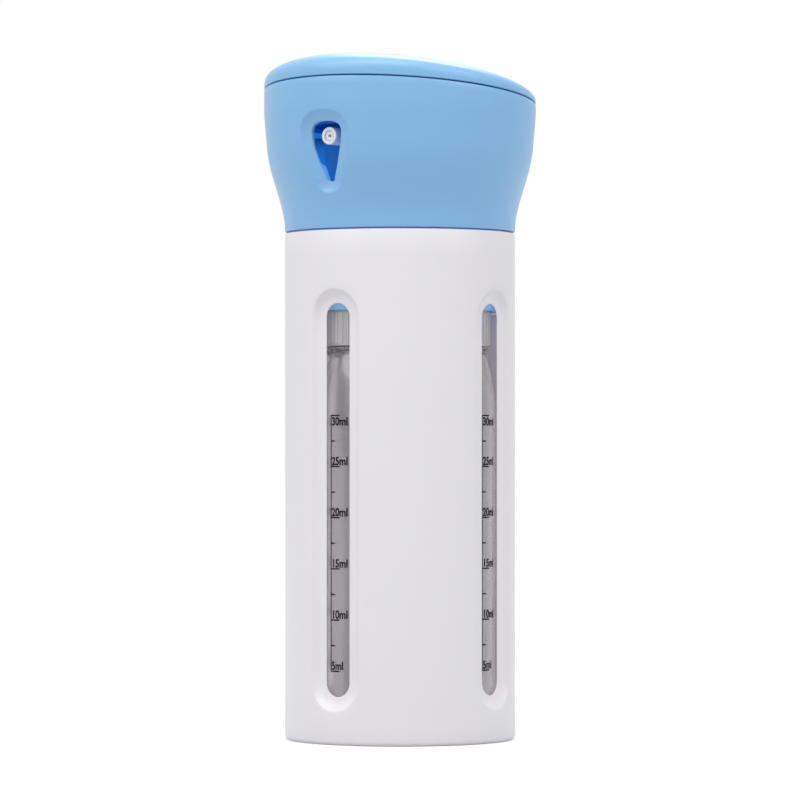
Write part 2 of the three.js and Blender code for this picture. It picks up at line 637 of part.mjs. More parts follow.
function cover() {
  const above = SEAM_HEIGHT + RIM_RADIUS
  const inside = underDome(skirtInner, RIM_GAP - COVER_WALL, COVER_SKIRT_BOTTOM - MERGE)
  const rim = underDome(RIM_RADIUS, RIM_GAP, COVER_SKIRT_BOTTOM).intersect(aboveSeam(RIM_GAP))
  const skirt = solid(ring(skirtInner, skirtOuter, COVER_SKIRT_BOTTOM, above, ROUND_LARGE))
  const guide = solid(ring(guideRadius, lipBore + GUIDE_WALL, guideBottom, above, ROUND_LARGE))
  const belowDome = underDome(RIM_RADIUS, RIM_GAP - COVER_WALL / 2, guideBottom - MERGE)
  const walls = skirt.add(guide).intersect(belowDome)
  const keyways = keyBar(BUTTON_GAP, guideBottom - MERGE, lipTop + BUTTON_GAP)
  const lipRoom = cylinder(lipBore, guideBottom - MERGE, lipTop + BUTTON_GAP).add(keyways)
  const well = cylinder(guideRadius, guideBottom - CUT_PAST, above)
  return rim.subtract(inside).add(walls).subtract(lipRoom).subtract(well)
}

// A shallow round bowl in the button's top, square to the dome there
function fingerDish() {
  const crown = COVER_HEIGHT * domeShare(0)
  const tilt = Math.atan(SEAM_SLOPE + crown * COVER_TAPER)
  const bowl = [0, 0.4, 0.75, 1].map((share) => [DISH_RADIUS * share, DISH_DEPTH * (share ** 2 - 1)])
  const shape = turned([...bowl, [DISH_RADIUS, DISH_DEPTH], [0, DISH_DEPTH]], ROUND_BOTTLE)
  return solid(shape.rotateX(-tilt).translate(0, 0, SEAM_HEIGHT + RIM_GAP + crown))
}

function pressButton() {
  const bore = BUTTON_RADIUS - BUTTON_WALL
  const above = SEAM_HEIGHT + RIM_RADIUS
  const body = underDome(RIM_RADIUS, RIM_GAP, BUTTON_BOTTOM).intersect(cylinder(BUTTON_RADIUS, 0, above))
  const underside = underDome(RIM_RADIUS, RIM_GAP - BUTTON_TOP_WALL, BUTTON_BOTTOM - MERGE)
  const hollow = underside.intersect(cylinder(bore, 0, above))
  const lip = solid(ring(bore, lipRadius, BUTTON_BOTTOM, lipTop, ROUND_LARGE))
  const keys = keyBar(0, BUTTON_BOTTOM, lipTop).subtract(cylinder(bore, 0, above))
  const presser = cylinder(PRESSER_RADIUS, ACTUATOR_TOP + PRESSER_GAP, above, ROUND_SMALL)
    .translate([0, -bottleOffset, 0])
  const boss = cylinder(COLUMN_RADIUS, BOSS_BOTTOM, above, ROUND_SMALL)
    .add(cylinder(PIN_RADIUS, BOSS_BOTTOM - PIN_HEIGHT, above, ROUND_TINY))
  const posts = presser.add(boss).intersect(underDome(RIM_RADIUS, RIM_GAP - BUTTON_TOP_WALL / 2, 0))
  return body.subtract(hollow).add(lip).add(keys).add(posts).subtract(fingerDish())
}

function buttonSpring() {
  const low = COLUMN_TOP + SEAT_GAP
  return solid(coil(RETURN_RADIUS, RETURN_WIRE, low, BOSS_BOTTOM - SEAT_GAP, RETURN_TURNS))
}

const assembly = new THREE.Group()

function place(name, body, finish, turn = 0, offset = 0) {
  const mesh = new THREE.Mesh(geometryOf(body), finish)
  mesh.name = name
  mesh.rotation.z = turn
  mesh.position.set(offset * Math.sin(turn), -offset * Math.cos(turn), 0)
  assembly.add(mesh)
}

place('sleeve', sleeve(), whiteAbs)
place('carrier', carrier(), blueAbs)
place('head_shell', headShell(), blueAbs)
place('cover', cover(), blueAbs)
place('press_button', pressButton(), blueAbs)
place('button_spring', buttonSpring(), springSteel)

const stations = [
  ['bottle', bottle(), clearPet],
  ['closure', closure(), naturalPp],
  ['gasket', gasket(), siliconeRubber],
  ['pump_housing', pumpHousing(), naturalPp],
  ['valve_ball', valveBall(), springSteel],
  ['dip_tube', dipTube(), naturalPp],
  ['piston_stem', pistonStem(), whitePp],
  ['pump_spring', pumpSpring(), springSteel],
  ['collar', collar(), whitePp],
  ['actuator', actuator(), whitePp],
]
for (let station = 0; station < BOTTLES; station += 1) {
  for (const [name, body, finish] of stations) {
    place(`${name}_${station + 1}`, body, finish, station * QUARTER, bottleOffset)
  }
}

export default assembly
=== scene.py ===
"""Travel dispenser bottle: four pump bottles in a windowed sleeve under a turning head."""

import math

import bmesh
import bpy
from mathutils import Matrix, Vector


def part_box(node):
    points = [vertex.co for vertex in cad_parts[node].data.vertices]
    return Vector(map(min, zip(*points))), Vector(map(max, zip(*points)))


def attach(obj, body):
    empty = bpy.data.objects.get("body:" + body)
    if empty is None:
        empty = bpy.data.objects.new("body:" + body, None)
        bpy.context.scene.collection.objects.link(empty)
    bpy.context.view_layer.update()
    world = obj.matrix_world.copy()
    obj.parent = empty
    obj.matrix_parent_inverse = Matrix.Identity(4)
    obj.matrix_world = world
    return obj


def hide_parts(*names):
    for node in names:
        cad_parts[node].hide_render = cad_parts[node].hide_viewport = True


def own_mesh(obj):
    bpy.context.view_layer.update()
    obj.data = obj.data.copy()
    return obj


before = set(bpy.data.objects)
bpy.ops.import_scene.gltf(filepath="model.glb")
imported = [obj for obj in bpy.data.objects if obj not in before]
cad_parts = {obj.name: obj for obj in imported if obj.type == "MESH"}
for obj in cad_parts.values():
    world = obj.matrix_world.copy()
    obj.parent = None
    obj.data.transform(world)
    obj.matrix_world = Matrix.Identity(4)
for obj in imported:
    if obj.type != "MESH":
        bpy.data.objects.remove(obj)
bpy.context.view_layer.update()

bl_info = {
    "name": "Travel Dispenser Bottle",
    "version": (1, 0, 0),
    "blender": (4, 5, 0),
    "location": "View3D > Sidebar > Dispenser",
    "description": "Builds a travel dispenser with four pump bottles under a turning head",
    "category": "Object",
}

MM = 0.001
BOTTLES = 4

# Sizes in millimetres, in the frame's own axes: the outlet looks along -Y

SLEEVE_BORE = 28.7
SLEEVE_FLOOR = 4.0
FOOT_RECESS = 2.0
FOOT_WIDTH = 3.4
SEAM_GAP = 0.4
RIM_RADIUS = 36.3
RIM_HEIGHT = 166.2
FLARE = (35.65, 159.0)  # radius and height where the flare's curve ends
SEAM_HEIGHT = 170.8  # on the axis
SEAM_SLOPE = 0.098  # rise for each millimetre towards the outlet
COVER_HEIGHT = 5.6
COVER_TAPER = 0.0125  # share that the dome gains for each millimetre towards the outlet
BOTTLE_OFFSET = 16.65  # of each bottle's axis from the middle
BOTTLE_RADIUS = 11.6
BUTTON_BOTTOM = 167.4

COLUMNS = 144  # around a full turn of the large shells
ROUND_BOTTLE = 72
ROUND_MEDIUM = 64
ROUND_SMALL = 48
ROUND_POST = 40
ROUND_BALL = 28



def linear(code):
    """Linear colour, with alpha, of an sRGB hex code."""
    shares = [int(code[i:i + 2], 16) / 255 for i in (1, 3, 5)]
    return tuple(s / 12.92 if s <= 0.04045 else ((s + 0.055) / 1.055) ** 2.4 for s in shares) + (1.0,)


# Settings


def length(name, description, default, precision=4):
    return bpy.props.FloatProperty(name=name, description=description, default=default, unit="LENGTH",
                                   precision=precision)


def colour(name, description, code):
    return bpy.props.FloatVectorProperty(name=name, description=description, subtype="COLOR", size=4,
                                         default=linear(code))


class DispenserSizes(bpy.types.PropertyGroup):
    """Sizes a user would change."""

    sleeve_radius: length("Sleeve radius", "Outside radius of the white sleeve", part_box("sleeve")[1][0])
    sleeve_top: length("Sleeve top", "Height of the sleeve's open end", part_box("sleeve")[1][2])
    window_width: length("Window width", "Width of the slot in each window", 0.0074)
    window_depth: length("Window depth", "Depth of the dish round each slot", 0.00175, precision=5)
    rib_count: bpy.props.IntProperty(
        name="Closure ribs", description="Grip ribs round each closure", default=36)
    rib_size: length("Rib size", "Width of one grip rib", 0.0009, precision=5)
    ink_height: length("Figure height", "Height of the printed figures", 0.0021)


class DispenserFinishes(bpy.types.PropertyGroup):
    """Colours a user would change."""

    sleeve_white: colour("Sleeve", "Colour of the sleeve", "#EEECF1")
    head_blue: colour("Head", "Colour of the head and carrier", "#86BDEA")
    bottle_clear: colour("Bottle", "Tint of the bottles", "#F8F6F8")
    pump_white: colour("Pump", "Colour of the pump heads", "#F3F4F6")
    ink: colour("Scale", "Colour of the printed scale", "#0C0C0E")


# Nodes and materials

GLOSS_SPREAD = 0.03  # how far the roughness strays either way
GRAIN_STRENGTH = 0.35


def add_node(tree, kind, values=None, links=None, **settings):
    """Adds a node with its settings, its inputs' values and the sockets that feed it."""
    made = tree.nodes.new(kind)
    for name, value in settings.items():
        setattr(made, name, value)
    for socket, value in (values or {}).items():
        made.inputs[socket].default_value = value
    for socket, source in (links or {}).items():
        tree.links.new(source, made.inputs[socket])
    return made


def moulded(name, colour, roughness, mottle=0.04, mottle_size=12.0, grain_size=0.5, grain_depth=0.02,
            **shader):
    """A material with slow mottling in its colour and gloss, and a fine grain, in millimetres."""
    finish = bpy.data.materials.new(name)
    finish.use_nodes = True
    tree = finish.node_tree
    tree.nodes.clear()
    place = add_node(tree, "ShaderNodeTexCoord").outputs["Object"]
    slow = add_node(tree, "ShaderNodeTexNoise", {"Scale": 1 / (mottle_size * MM), "Detail": 3.0},
                    {"Vector": place}).outputs["Fac"]
    fine = add_node(tree, "ShaderNodeTexNoise", {"Scale": 1 / (grain_size * MM), "Detail": 2.0},
                    {"Vector": place}).outputs["Fac"]
    darker = tuple(c * (1 - mottle) for c in colour[:3]) + (1.0,)
    shade = add_node(tree, "ShaderNodeMix", links={"Factor": slow}, data_type="RGBA")
    for socket, value in zip([s for s in shade.inputs if s.type == "RGBA"], (darker, tuple(colour))):
        socket.default_value = value
    gloss = add_node(tree, "ShaderNodeMapRange",
                     {"To Min": roughness - GLOSS_SPREAD, "To Max": roughness + GLOSS_SPREAD},
                     {"Value": slow}).outputs["Result"]
    bump = add_node(tree, "ShaderNodeBump", {"Strength": GRAIN_STRENGTH, "Distance": grain_depth * MM},
                    {"Height": fine})
    surface = add_node(tree, "ShaderNodeBsdfPrincipled", shader,
                       {"Base Color": [s for s in shade.outputs if s.type == "RGBA"][0],
                        "Roughness": gloss, "Normal": bump.outputs["Normal"]})
    add_node(tree, "ShaderNodeOutputMaterial", links={"Surface": surface.outputs["BSDF"]})
    return finish


def make_finishes(colours):
    """Every finish of the object, by the name of its slot."""
    return {
        # Spark-eroded mould: a dry, even sheen with no mirror images, barely mottled
        "sleeve_white": moulded("white_abs_moulded", colours.sleeve_white, 0.42, mottle=0.015,
                                grain_depth=0.012, IOR=1.54),
        # The same resin coloured through: soft highlights along the flare and the cap's shoulder
        "head_blue": moulded("blue_abs_moulded", colours.head_blue, 0.36, mottle=0.03, grain_depth=0.012,
                             IOR=1.54),
        # Painted glow: the inward faces of the thin walls emit a faint even light, which stands in for
        # daylight through them
        "sleeve_painted_glow": moulded("white_abs_painted_glow", colours.sleeve_white, 0.5, mottle=0.015,
                              **{"Emission Color": linear("#ECE6EC"), "Emission Strength": 0.36}),
        "head_painted_glow": moulded("blue_abs_painted_glow", colours.head_blue, 0.45, mottle=0.03,
                            **{"Emission Color": linear("#1F6FB8"), "Emission Strength": 0.6}),
        # Stretch-blown bottle: clear, with slow waves in the wall that bend what is behind
        "bottle_clear": moulded("clear_pet_blown", colours.bottle_clear, 0.09, mottle=0.02, grain_size=5.0,
                                grain_depth=0.05, **{"IOR": 1.575, "Transmission Weight": 0.92}),
        # Unpigmented closure: milky, so ribs and thread show as soft bands
        "closure_natural": moulded("natural_pp_moulded", linear("#E4E2E6"), 0.3, mottle=0.03,
                                   **{"IOR": 1.49, "Transmission Weight": 0.45}),
        # Pigmented pump parts: bright white with a waxy gloss
        "pump_white": moulded("white_pp_moulded", colours.pump_white, 0.3, mottle=0.02, IOR=1.49),
        # Pressed sealing ring: dull and slightly grey
        "gasket_rubber": moulded("silicone_rubber_pressed", linear("#D3D7D9"), 0.62, mottle=0.05, IOR=1.41),
        # Drawn wire: bright along the coil, with fine draw marks in the gloss
        "spring_steel": moulded("stainless_steel_wire_drawn", linear("#B9BCC0"), 0.28, mottle=0.1,
                                mottle_size=2.0, Metallic=1.0),
        # Screen-printed ink: a thin dead-black layer with slightly uneven gloss
        "scale_ink": moulded("black_ink_screen_printed", colours.ink, 0.6, mottle=0.3, mottle_size=0.8,
                             **{"Specular IOR Level": 0.15}),
    }


# Mesh helpers

FINISHES = {}  # filled by the finishes operator
TURNS = [math.pi / 2 * k for k in range(BOTTLES)]
ON_AXIS = 1e-6
ARC_REACH = 0.49  # share of a side that the arc at its end may take
OUTWARD = 0.1  # a face turned out by more than this over its radius, in millimetres, isn't an inward one


def rounded(corners, steps=4):
    """A closed line whose (radius, height, rounding) corners are turned to arcs, in millimetres."""
    line = []
    for i, (radius, height, size) in enumerate(corners):
        here = Vector((radius, height))
        before = Vector(corners[i - 1][:2]) - here
        after = Vector(corners[(i + 1) % len(corners)][:2]) - here
        reach = min(size, before.length * ARC_REACH, after.length * ARC_REACH)
        if reach <= 0:
            line.append((radius, height))
            continue
        start, end = here + before.normalized() * reach, here + after.normalized() * reach
        for k in range(steps + 1):
            share = k / steps
            point = start.lerp(here, share).lerp(here.lerp(end, share), share)
            line.append((point.x, point.y))
    return line


def join_loops(shape, low, high, closed=True):
    """Faces between two rows of vertices. A row of one vertex is a pole."""
    count = max(len(low), len(high))
    for k in range(count if closed else count - 1):
        after = (k + 1) % count
        corners = [low[k % len(low)], low[after % len(low)], high[after % len(high)], high[k % len(high)]]
        corners = list(dict.fromkeys(corners))
        if len(corners) > 2:
            shape.faces.new(corners)


def shift(x, y, z):
    return Matrix.Translation(Vector((x, y, z)) * MM)


def add_row(shape, points):
    return [shape.verts.new(Vector(point) * MM) for point in points]


def around(radius, height, columns):
    """Points of one ring, counter-clockwise from -Y. On the axis it is one point."""
    if radius < ON_AXIS:
        return [(0, 0, height)]
    angles = [2 * math.pi * k / columns for k in range(columns)]
    return [(radius * math.sin(a), -radius * math.cos(a), height) for a in angles]


def revolve(shape, line, columns, closed=True, place=Matrix()):
    """Turns a line of (radius, height) about +Z. It runs up the outside and down the inside."""
    rows = [add_row(shape, around(radius, height, columns)) for radius, height in line]
    pairs = list(zip(rows, rows[1:])) + ([(rows[-1], rows[0])] if closed else [])
    for low, high in pairs:
        if len(low) > 1 or len(high) > 1:
            join_loops(shape, low, high)
    bmesh.ops.transform(shape, matrix=place, verts=[v for row in rows for v in row])


def turned(corners, columns, steps=4, place=Matrix()):
    """A shape turned from rounded corners."""
    shape = bmesh.new()
    revolve(shape, rounded(corners, steps), columns, place=place)
    return shape


def mesh_of(shape, name, turn=0.0, offset=0.0):
    """A mesh from a bmesh, moved out along -Y by offset and turned about +Z."""
    if offset or turn:
        place = Matrix.Rotation(turn, 4, "Z") @ shift(0, -offset, 0)
        bmesh.ops.transform(shape, matrix=place, verts=shape.verts)
    mesh = bpy.data.meshes.new(name)
    shape.to_mesh(mesh)
    return mesh


def finish_piece(name, mesh, finish, body, sharp=34, lit=None):
    """An object for the finished mesh, which replaces the CAD node of its name and rides on its body.

    lit is (finish, (radius, height)): painted glow on the inward faces nearer the axis than the radius, over
    the height.
    """
    mesh.materials.clear()
    mesh.materials.append(FINISHES[finish])
    # Painted glow: the inward faces within reach take the glowing finish
    if lit:
        glow, (reach, low) = lit
        mesh.materials.append(FINISHES[glow])
        for face in mesh.polygons:
            within = math.hypot(face.center.x, face.center.y) < reach * MM
            inward = face.normal.x * face.center.x + face.normal.y * face.center.y <= OUTWARD * MM
            face.material_index = int(within and inward and face.center.z > low * MM)
    mesh.shade_smooth()
    mesh.set_sharp_from_angle(angle=math.radians(sharp))
    piece = bpy.data.objects.new(name + "_dressed", mesh)
    bpy.context.scene.collection.objects.link(piece)
    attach(piece, body)
    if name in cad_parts:
        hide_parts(name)
    return piece


def evaluated(held):
    """The plain mesh that an object's modifiers give. The object is removed."""
    graph = bpy.context.evaluated_depsgraph_get()
    mesh = bpy.data.meshes.new_from_object(held.evaluated_get(graph), depsgraph=graph)
    held.modifiers.clear()
    bpy.data.objects.remove(held)
    return mesh


def loose_object(mesh, name="work"):
    made = bpy.data.objects.new(name, mesh)
    bpy.context.scene.collection.objects.link(made)
    return made


def cut(mesh, cutters):
    """A mesh with others taken out of it."""
    whole = loose_object(mesh)
    tools = [loose_object(cutter, "cutter") for cutter in cutters]
    for tool in tools:
        step = whole.modifiers.new("cut", "BOOLEAN")
        step.operation, step.solver, step.object = "DIFFERENCE", "EXACT", tool
    result = evaluated(whole)
    for tool in tools:
        bpy.data.objects.remove(tool)
    return result


def run_tree(tree, finish, values):
    """The plain mesh that a Geometry Nodes tree gives, with its inputs' values by name."""
    held = loose_object(bpy.data.meshes.new("base"))
    step = held.modifiers.new("tree", "NODES")
    step.node_group = tree
    values["Finish"] = FINISHES[finish]
    for item in tree.interface.items_tree:
        if item.item_type == "SOCKET" and item.in_out == "INPUT" and item.name in values:
            step[item.identifier] = values[item.name]
    return evaluated(held)


def new_tree(name, inputs):
    """A Geometry Nodes tree with (name, kind, value) inputs and a finish, and its input sockets."""
    tree = bpy.data.node_groups.new(name, "GeometryNodeTree")
    tree.interface.new_socket("Geometry", in_out="OUTPUT", socket_type="NodeSocketGeometry")
    tree.interface.new_socket("Geometry", in_out="INPUT", socket_type="NodeSocketGeometry")
    for label, kind, value in inputs:
        socket = tree.interface.new_socket(label, in_out="INPUT", socket_type=f"NodeSocket{kind}")
        socket.default_value = value
    tree.interface.new_socket("Finish", in_out="INPUT", socket_type="NodeSocketMaterial")
    return tree, tree.nodes.new("NodeGroupInput").outputs


def end_tree(tree, geometry, given):
    """Realize Instances and Set Material, which every tree ends in."""
    real = add_node(tree, "GeometryNodeRealizeInstances", links={"Geometry": geometry})
    coloured = add_node(tree, "GeometryNodeSetMaterial", links={
        "Geometry": real.outputs["Geometry"], "Material": given["Finish"]})
    out = tree.nodes.new("NodeGroupOutput")
    tree.links.new(coloured.outputs["Geometry"], out.inputs["Geometry"])


# Stage

WHITE = linear("#FFFFFF")
CAMERA_AZIMUTH = math.radians(34.5)
CAMERA_DISTANCE = 1.122
CAMERA_HEIGHT = 0.0781
CAMERA_PITCH = math.radians(0.627)
CAMERA_LENS = 189.1
CAMERA_SENSOR = 36.0
CAMERA_CLIP = (0.05, 50.0)
AMBIENT = 0.46
FLOOR_LIFT = (0.46, 0.85)  # light the camera sees on the floor, over what falls there, near and far
FLOOR_REACH = 9.0
FLOOR_FADE = (0.15, 1.2)  # metres from the object over which it rises
SOFTBOX_AIM = 0.14
SOFTBOXES = (  # azimuth and elevation in degrees, distance and side in metres, watts
    ("left_softbox", -24, 38, 1.2, 0.8, 4.2),
    ("right_softbox", 92, 34, 1.2, 0.8, 3.7),
    ("top_softbox", 20, 66, 1.1, 0.7, 5.2),
    ("back_softbox", 208, 48, 1.2, 0.5, 4.5),
)


def studio_rays(tree):
    """1 for what the camera, a reflection or clear plastic sees, 0 for what lights a surface."""
    rays = add_node(tree, "ShaderNodeLightPath").outputs
    seen = add_node(tree, "ShaderNodeMath", links={0: rays["Is Camera Ray"], 1: rays["Is Glossy Ray"]},
                    operation="MAXIMUM").outputs[0]
    return add_node(tree, "ShaderNodeMath", links={0: seen, 1: rays["Is Transmission Ray"]},
                    operation="MAXIMUM").outputs[0]


def make_sky(scene):
    sky = bpy.data.worlds.new("studio_sky")
    sky.use_nodes = True
    tree = sky.node_tree
    tree.nodes.clear()
    strength = add_node(tree, "ShaderNodeMapRange", {"To Min": AMBIENT, "To Max": 1.0},
                        {"Value": studio_rays(tree)}).outputs["Result"]
    light = add_node(tree, "ShaderNodeBackground", {"Color": WHITE}, {"Strength": strength})
    add_node(tree, "ShaderNodeOutputWorld", links={"Surface": light.outputs["Background"]})
    scene.world = sky


def make_floor():
    shape = bmesh.new()
    bmesh.ops.create_grid(shape, x_segments=8, y_segments=8, size=FLOOR_REACH)
    mesh = bpy.data.meshes.new("floor")
    shape.to_mesh(mesh)
    paper = bpy.data.materials.new("white_backdrop_paper")
    paper.use_nodes = True
    tree = paper.node_tree
    tree.nodes.clear()
    place = add_node(tree, "ShaderNodeTexCoord").outputs["Object"]
    away = add_node(tree, "ShaderNodeVectorMath", links={0: place}, operation="LENGTH").outputs["Value"]
    fade = add_node(tree, "ShaderNodeMapRange", {
        "From Min": FLOOR_FADE[0], "From Max": FLOOR_FADE[1], "To Min": FLOOR_LIFT[0],
        "To Max": FLOOR_LIFT[1]}, {"Value": away}).outputs["Result"]
    lift = add_node(tree, "ShaderNodeMath", links={0: studio_rays(tree), 1: fade},
                    operation="MULTIPLY").outputs[0]
    lit = add_node(tree, "ShaderNodeBsdfDiffuse", {"Color": linear("#CBCBCC")})
    glow = add_node(tree, "ShaderNodeEmission", {"Color": WHITE}, {"Strength": lift})
    both = add_node(tree, "ShaderNodeAddShader", links={0: lit.outputs["BSDF"], 1: glow.outputs["Emission"]})
    add_node(tree, "ShaderNodeOutputMaterial", links={"Surface": both.outputs["Shader"]})
    mesh.materials.append(paper)
    loose_object(mesh, "floor")


def make_softboxes(scene):
    aim = Vector((0, 0, SOFTBOX_AIM))
    for name, azimuth, elevation, distance, side, watts in SOFTBOXES:
        lamp = bpy.data.lights.new(name, "AREA")
        lamp.size, lamp.energy = side, watts
        box = bpy.data.objects.new(name, lamp)
        turn, rise = math.radians(azimuth), math.radians(elevation)
        away = Vector((math.sin(turn) * math.cos(rise), -math.cos(turn) * math.cos(rise), math.sin(rise)))
        box.location = aim + away * distance
        box.rotation_euler = away.to_track_quat("Z", "Y").to_euler()
        scene.collection.objects.link(box)


def make_camera(scene):
    lens = bpy.data.cameras.new("photo_camera")
    lens.lens, lens.sensor_width = CAMERA_LENS, CAMERA_SENSOR
    lens.clip_start, lens.clip_end = CAMERA_CLIP
    camera = bpy.data.objects.new("photo_camera", lens)
    camera.location = (math.sin(CAMERA_AZIMUTH) * CAMERA_DISTANCE,
                       -math.cos(CAMERA_AZIMUTH) * CAMERA_DISTANCE, CAMERA_HEIGHT)
    camera.rotation_euler = (math.pi / 2 + CAMERA_PITCH, 0, CAMERA_AZIMUTH)
    scene.collection.objects.link(camera)
    scene.camera = camera


# Walls with openings


def shell_with_openings(rows, outer, inner, span, centres, loops_at):
    """A turned wall with openings, from rings of points that run up the outside and down the inside.

    outer and inner are the (low, high) rows of the field round an opening, span is half its width in
    columns, and loops_at gives an opening's rings of points from the outer field to the inner one.
    """
    shape = bmesh.new()
    verts = [add_row(shape, ring) for ring in rows]
    count = max(len(ring) for ring in rows)

    def field(low, high, centre):
        step = 1 if high > low else -1
        right, left = centre + span, centre - span
        return ([verts[row][right % count] for row in range(low, high, step)]
                + [verts[high][column % count] for column in range(right, left, -1)]
                + [verts[row][left % count] for row in range(high, low, -step)]
                + [verts[low][column % count] for column in range(left, right)])

    open_columns = {(centre + k) % count for centre in centres for k in range(-span, span)}
    open_rows = set(range(*outer)) | set(range(inner[1], inner[0]))
    last = len(rows) if len(rows[0]) > 1 else len(rows) - 1
    for i in range(last):
        low, high = verts[i], verts[(i + 1) % len(rows)]
        if i not in open_rows:
            join_loops(shape, low, high)
            continue
        for k in set(range(count)) - open_columns:
            after = (k + 1) % count
            shape.faces.new((low[k], low[after], high[after], high[k]))
    for centre in centres:
        chain = [field(*outer, centre)] + [add_row(shape, loop) for loop in loops_at(centre)]
        chain.append(field(*inner, centre))
        for low, high in zip(chain, chain[1:]):
            join_loops(shape, low, high)
    bmesh.ops.recalc_face_normals(shape, faces=shape.faces)
    return shape


def on_wall(x, height, radius, depth, centre):
    """A point on a wall of that radius, sunk by depth, seen from the column's side."""
    place = Matrix.Rotation(2 * math.pi * centre / COLUMNS, 3, "Z")
    return place @ Vector((x, depth - math.sqrt(max(radius * radius - x * x, 0)), height))


# Sleeve

WINDOW_LOW, WINDOW_HIGH = 12.5, 115.5
WINDOW_SPAN = 7  # half the field's width, in columns
WINDOW_ROWS = 20
FIELD_LOW, FIELD_HIGH = 6.0, 122.0  # of the wall that each window's dish is set in
DISH = (  # spread beyond the slot in millimetres, share of the dish's depth
    (4.05, 0.0), (3.8, 0.03), (3.55, 0.12), (3.2, 0.29), (2.8, 0.48), (2.3, 0.67), (1.7, 0.83),
    (1.1, 0.93), (0.5, 0.985), (0.15, 1.0), (0.0, 1.06))
LIP_LIFT = 0.08  # of the slot's last loop over the bore
HEEL_ROUND, HEEL_TOP = 1.2, 3.5
HEEL_ANGLES = (0.0, 0.4, 0.8, 1.2, 1.57)
FOOT_EDGE = 0.3
FOOT_BEVEL = ((0.5, 0.2), (0.8, 0.0))  # out from the recess, up from the ground
PLAIN_TOP = 128  # the last row under the open end
TOP_EDGE = ((0.0, 0.3), (0.09, 0.09), (0.3, 0.0))  # in from the outside, down from the top
BORE_EDGE = 0.2
FLOOR_FILLET = ((0.0, 0.6), (0.2, 0.15), (0.7, 0.0))  # in from the bore, up from the floor
RIB_SIZE = (1.6, 7.5, 109.4)  # width, depth and height
RIB_SINK = (0.3, 0.1)  # into the wall and into the floor
SLEEVE_PAINTED_GLOW_REACH = (SLEEVE_BORE + 0.2, SLEEVE_FLOOR - 0.1)  # radius and height bounding the painted glow on the sleeve's inward faces


def slot_outline(half, spread):
    """The slot's (x, height) outline grown by spread, counter-clockwise from the lower right."""
    reach = half + spread
    low, high = WINDOW_LOW + half, WINDOW_HIGH - half
    sides, arcs = range(WINDOW_ROWS), range(2 * WINDOW_SPAN)
    rise = [low + (high - low) * i / WINDOW_ROWS for i in sides]
    fall = [high + (low - high) * i / WINDOW_ROWS for i in sides]
    bend = [math.pi * j / len(arcs) for j in arcs]
    return ([(reach, z) for z in rise] + [(reach * math.cos(a), high + reach * math.sin(a)) for a in bend]
            + [(-reach, z) for z in fall] + [(-reach * math.cos(a), low - reach * math.sin(a)) for a in bend])


def sleeve_mesh(sizes):
    radius, top = sizes.sleeve_radius / MM, sizes.sleeve_top / MM
    half, sink = sizes.window_width / MM / 2, sizes.window_depth / MM
    heights = [FIELD_LOW + (FIELD_HIGH - FIELD_LOW) * i / WINDOW_ROWS for i in range(WINDOW_ROWS + 1)]
    foot = radius - FOOT_WIDTH
    heel = [(radius - HEEL_ROUND + HEEL_ROUND * math.sin(a), HEEL_ROUND - HEEL_ROUND * math.cos(a))
            for a in HEEL_ANGLES]
    below = [(0, FOOT_RECESS), (foot - FOOT_EDGE, FOOT_RECESS), (foot, FOOT_RECESS - FOOT_EDGE)]
    below += [(foot + out, up) for out, up in FOOT_BEVEL] + heel + [(radius, HEEL_TOP)]
    above = [(radius, PLAIN_TOP)] + [(radius - inward, top - down) for inward, down in TOP_EDGE]
    above += [(SLEEVE_BORE + BORE_EDGE, top), (SLEEVE_BORE, top - BORE_EDGE), (SLEEVE_BORE, PLAIN_TOP)]
    line = below + [(radius, z) for z in heights] + above
    first, back = len(below), len(line)
    line += [(SLEEVE_BORE, z) for z in reversed(heights)]
    line += [(SLEEVE_BORE - inward, SLEEVE_FLOOR + up) for inward, up in FLOOR_FILLET] + [(0, SLEEVE_FLOOR)]

    def window(centre):
        loops = [[on_wall(x, z, radius - sink * share, 0, centre) for x, z in slot_outline(half, spread)]
                 for spread, share in DISH]
        edge = [[on_wall(x, z, SLEEVE_BORE + lift, 0, centre) for x, z in slot_outline(half, 0)]
                for lift in (LIP_LIFT, 0)]
        return loops + edge

    centres = [COLUMNS * k // BOTTLES for k in range(BOTTLES)]
    shape = shell_with_openings([around(r, z, COLUMNS) for r, z in line], (first, first + WINDOW_ROWS),
                                (back + WINDOW_ROWS, back), WINDOW_SPAN, centres, window)
    out = SLEEVE_BORE - RIB_SIZE[1] / 2 + RIB_SINK[0]
    middle = SLEEVE_FLOOR + RIB_SIZE[2] / 2 - RIB_SINK[1]
    rib = shift(0, -out, middle) @ Matrix.Diagonal((*Vector(RIB_SIZE) * MM, 1))
    for k in range(BOTTLES):
        place = Matrix.Rotation(math.radians(45 + 90 * k), 4, "Z") @ rib
        bmesh.ops.create_cube(shape, size=1, matrix=place)
    return mesh_of(shape, "sleeve_look")


# Head

HEAD_BOTTOM = 135.1
HEAD_INNER = 33.2
INNER_BOTTOM = 152.2
THICK_INNER, THICK_TOP = 30.4, 151.2
HEAD_EDGE = 0.3
BOTTOM_EDGE = ((0.25, 0.0), (0.07, 0.07))  # in from the flare, up from the bottom
SEAM_EDGE = ((0.08, 0.08), (0.3, 0.0))  # in from the rim, down from the seam
INNER_EDGE = 0.1
OUTER_ROWS, INNER_ROWS = 25, 16
HEAD_STEPS = (  # radius and height down the inside, from the thick ring to the snap groove and the skirt
    (THICK_INNER, THICK_TOP), (THICK_INNER, 150.1), (THICK_INNER, 149.0), (THICK_INNER, 147.9),
    (THICK_INNER, 146.6), (27.3, 145.6), (27.3, 144.1), (28.8, 143.95), (28.8, 139.5), (28.8, 135.3),
    (28.95, HEAD_BOTTOM))
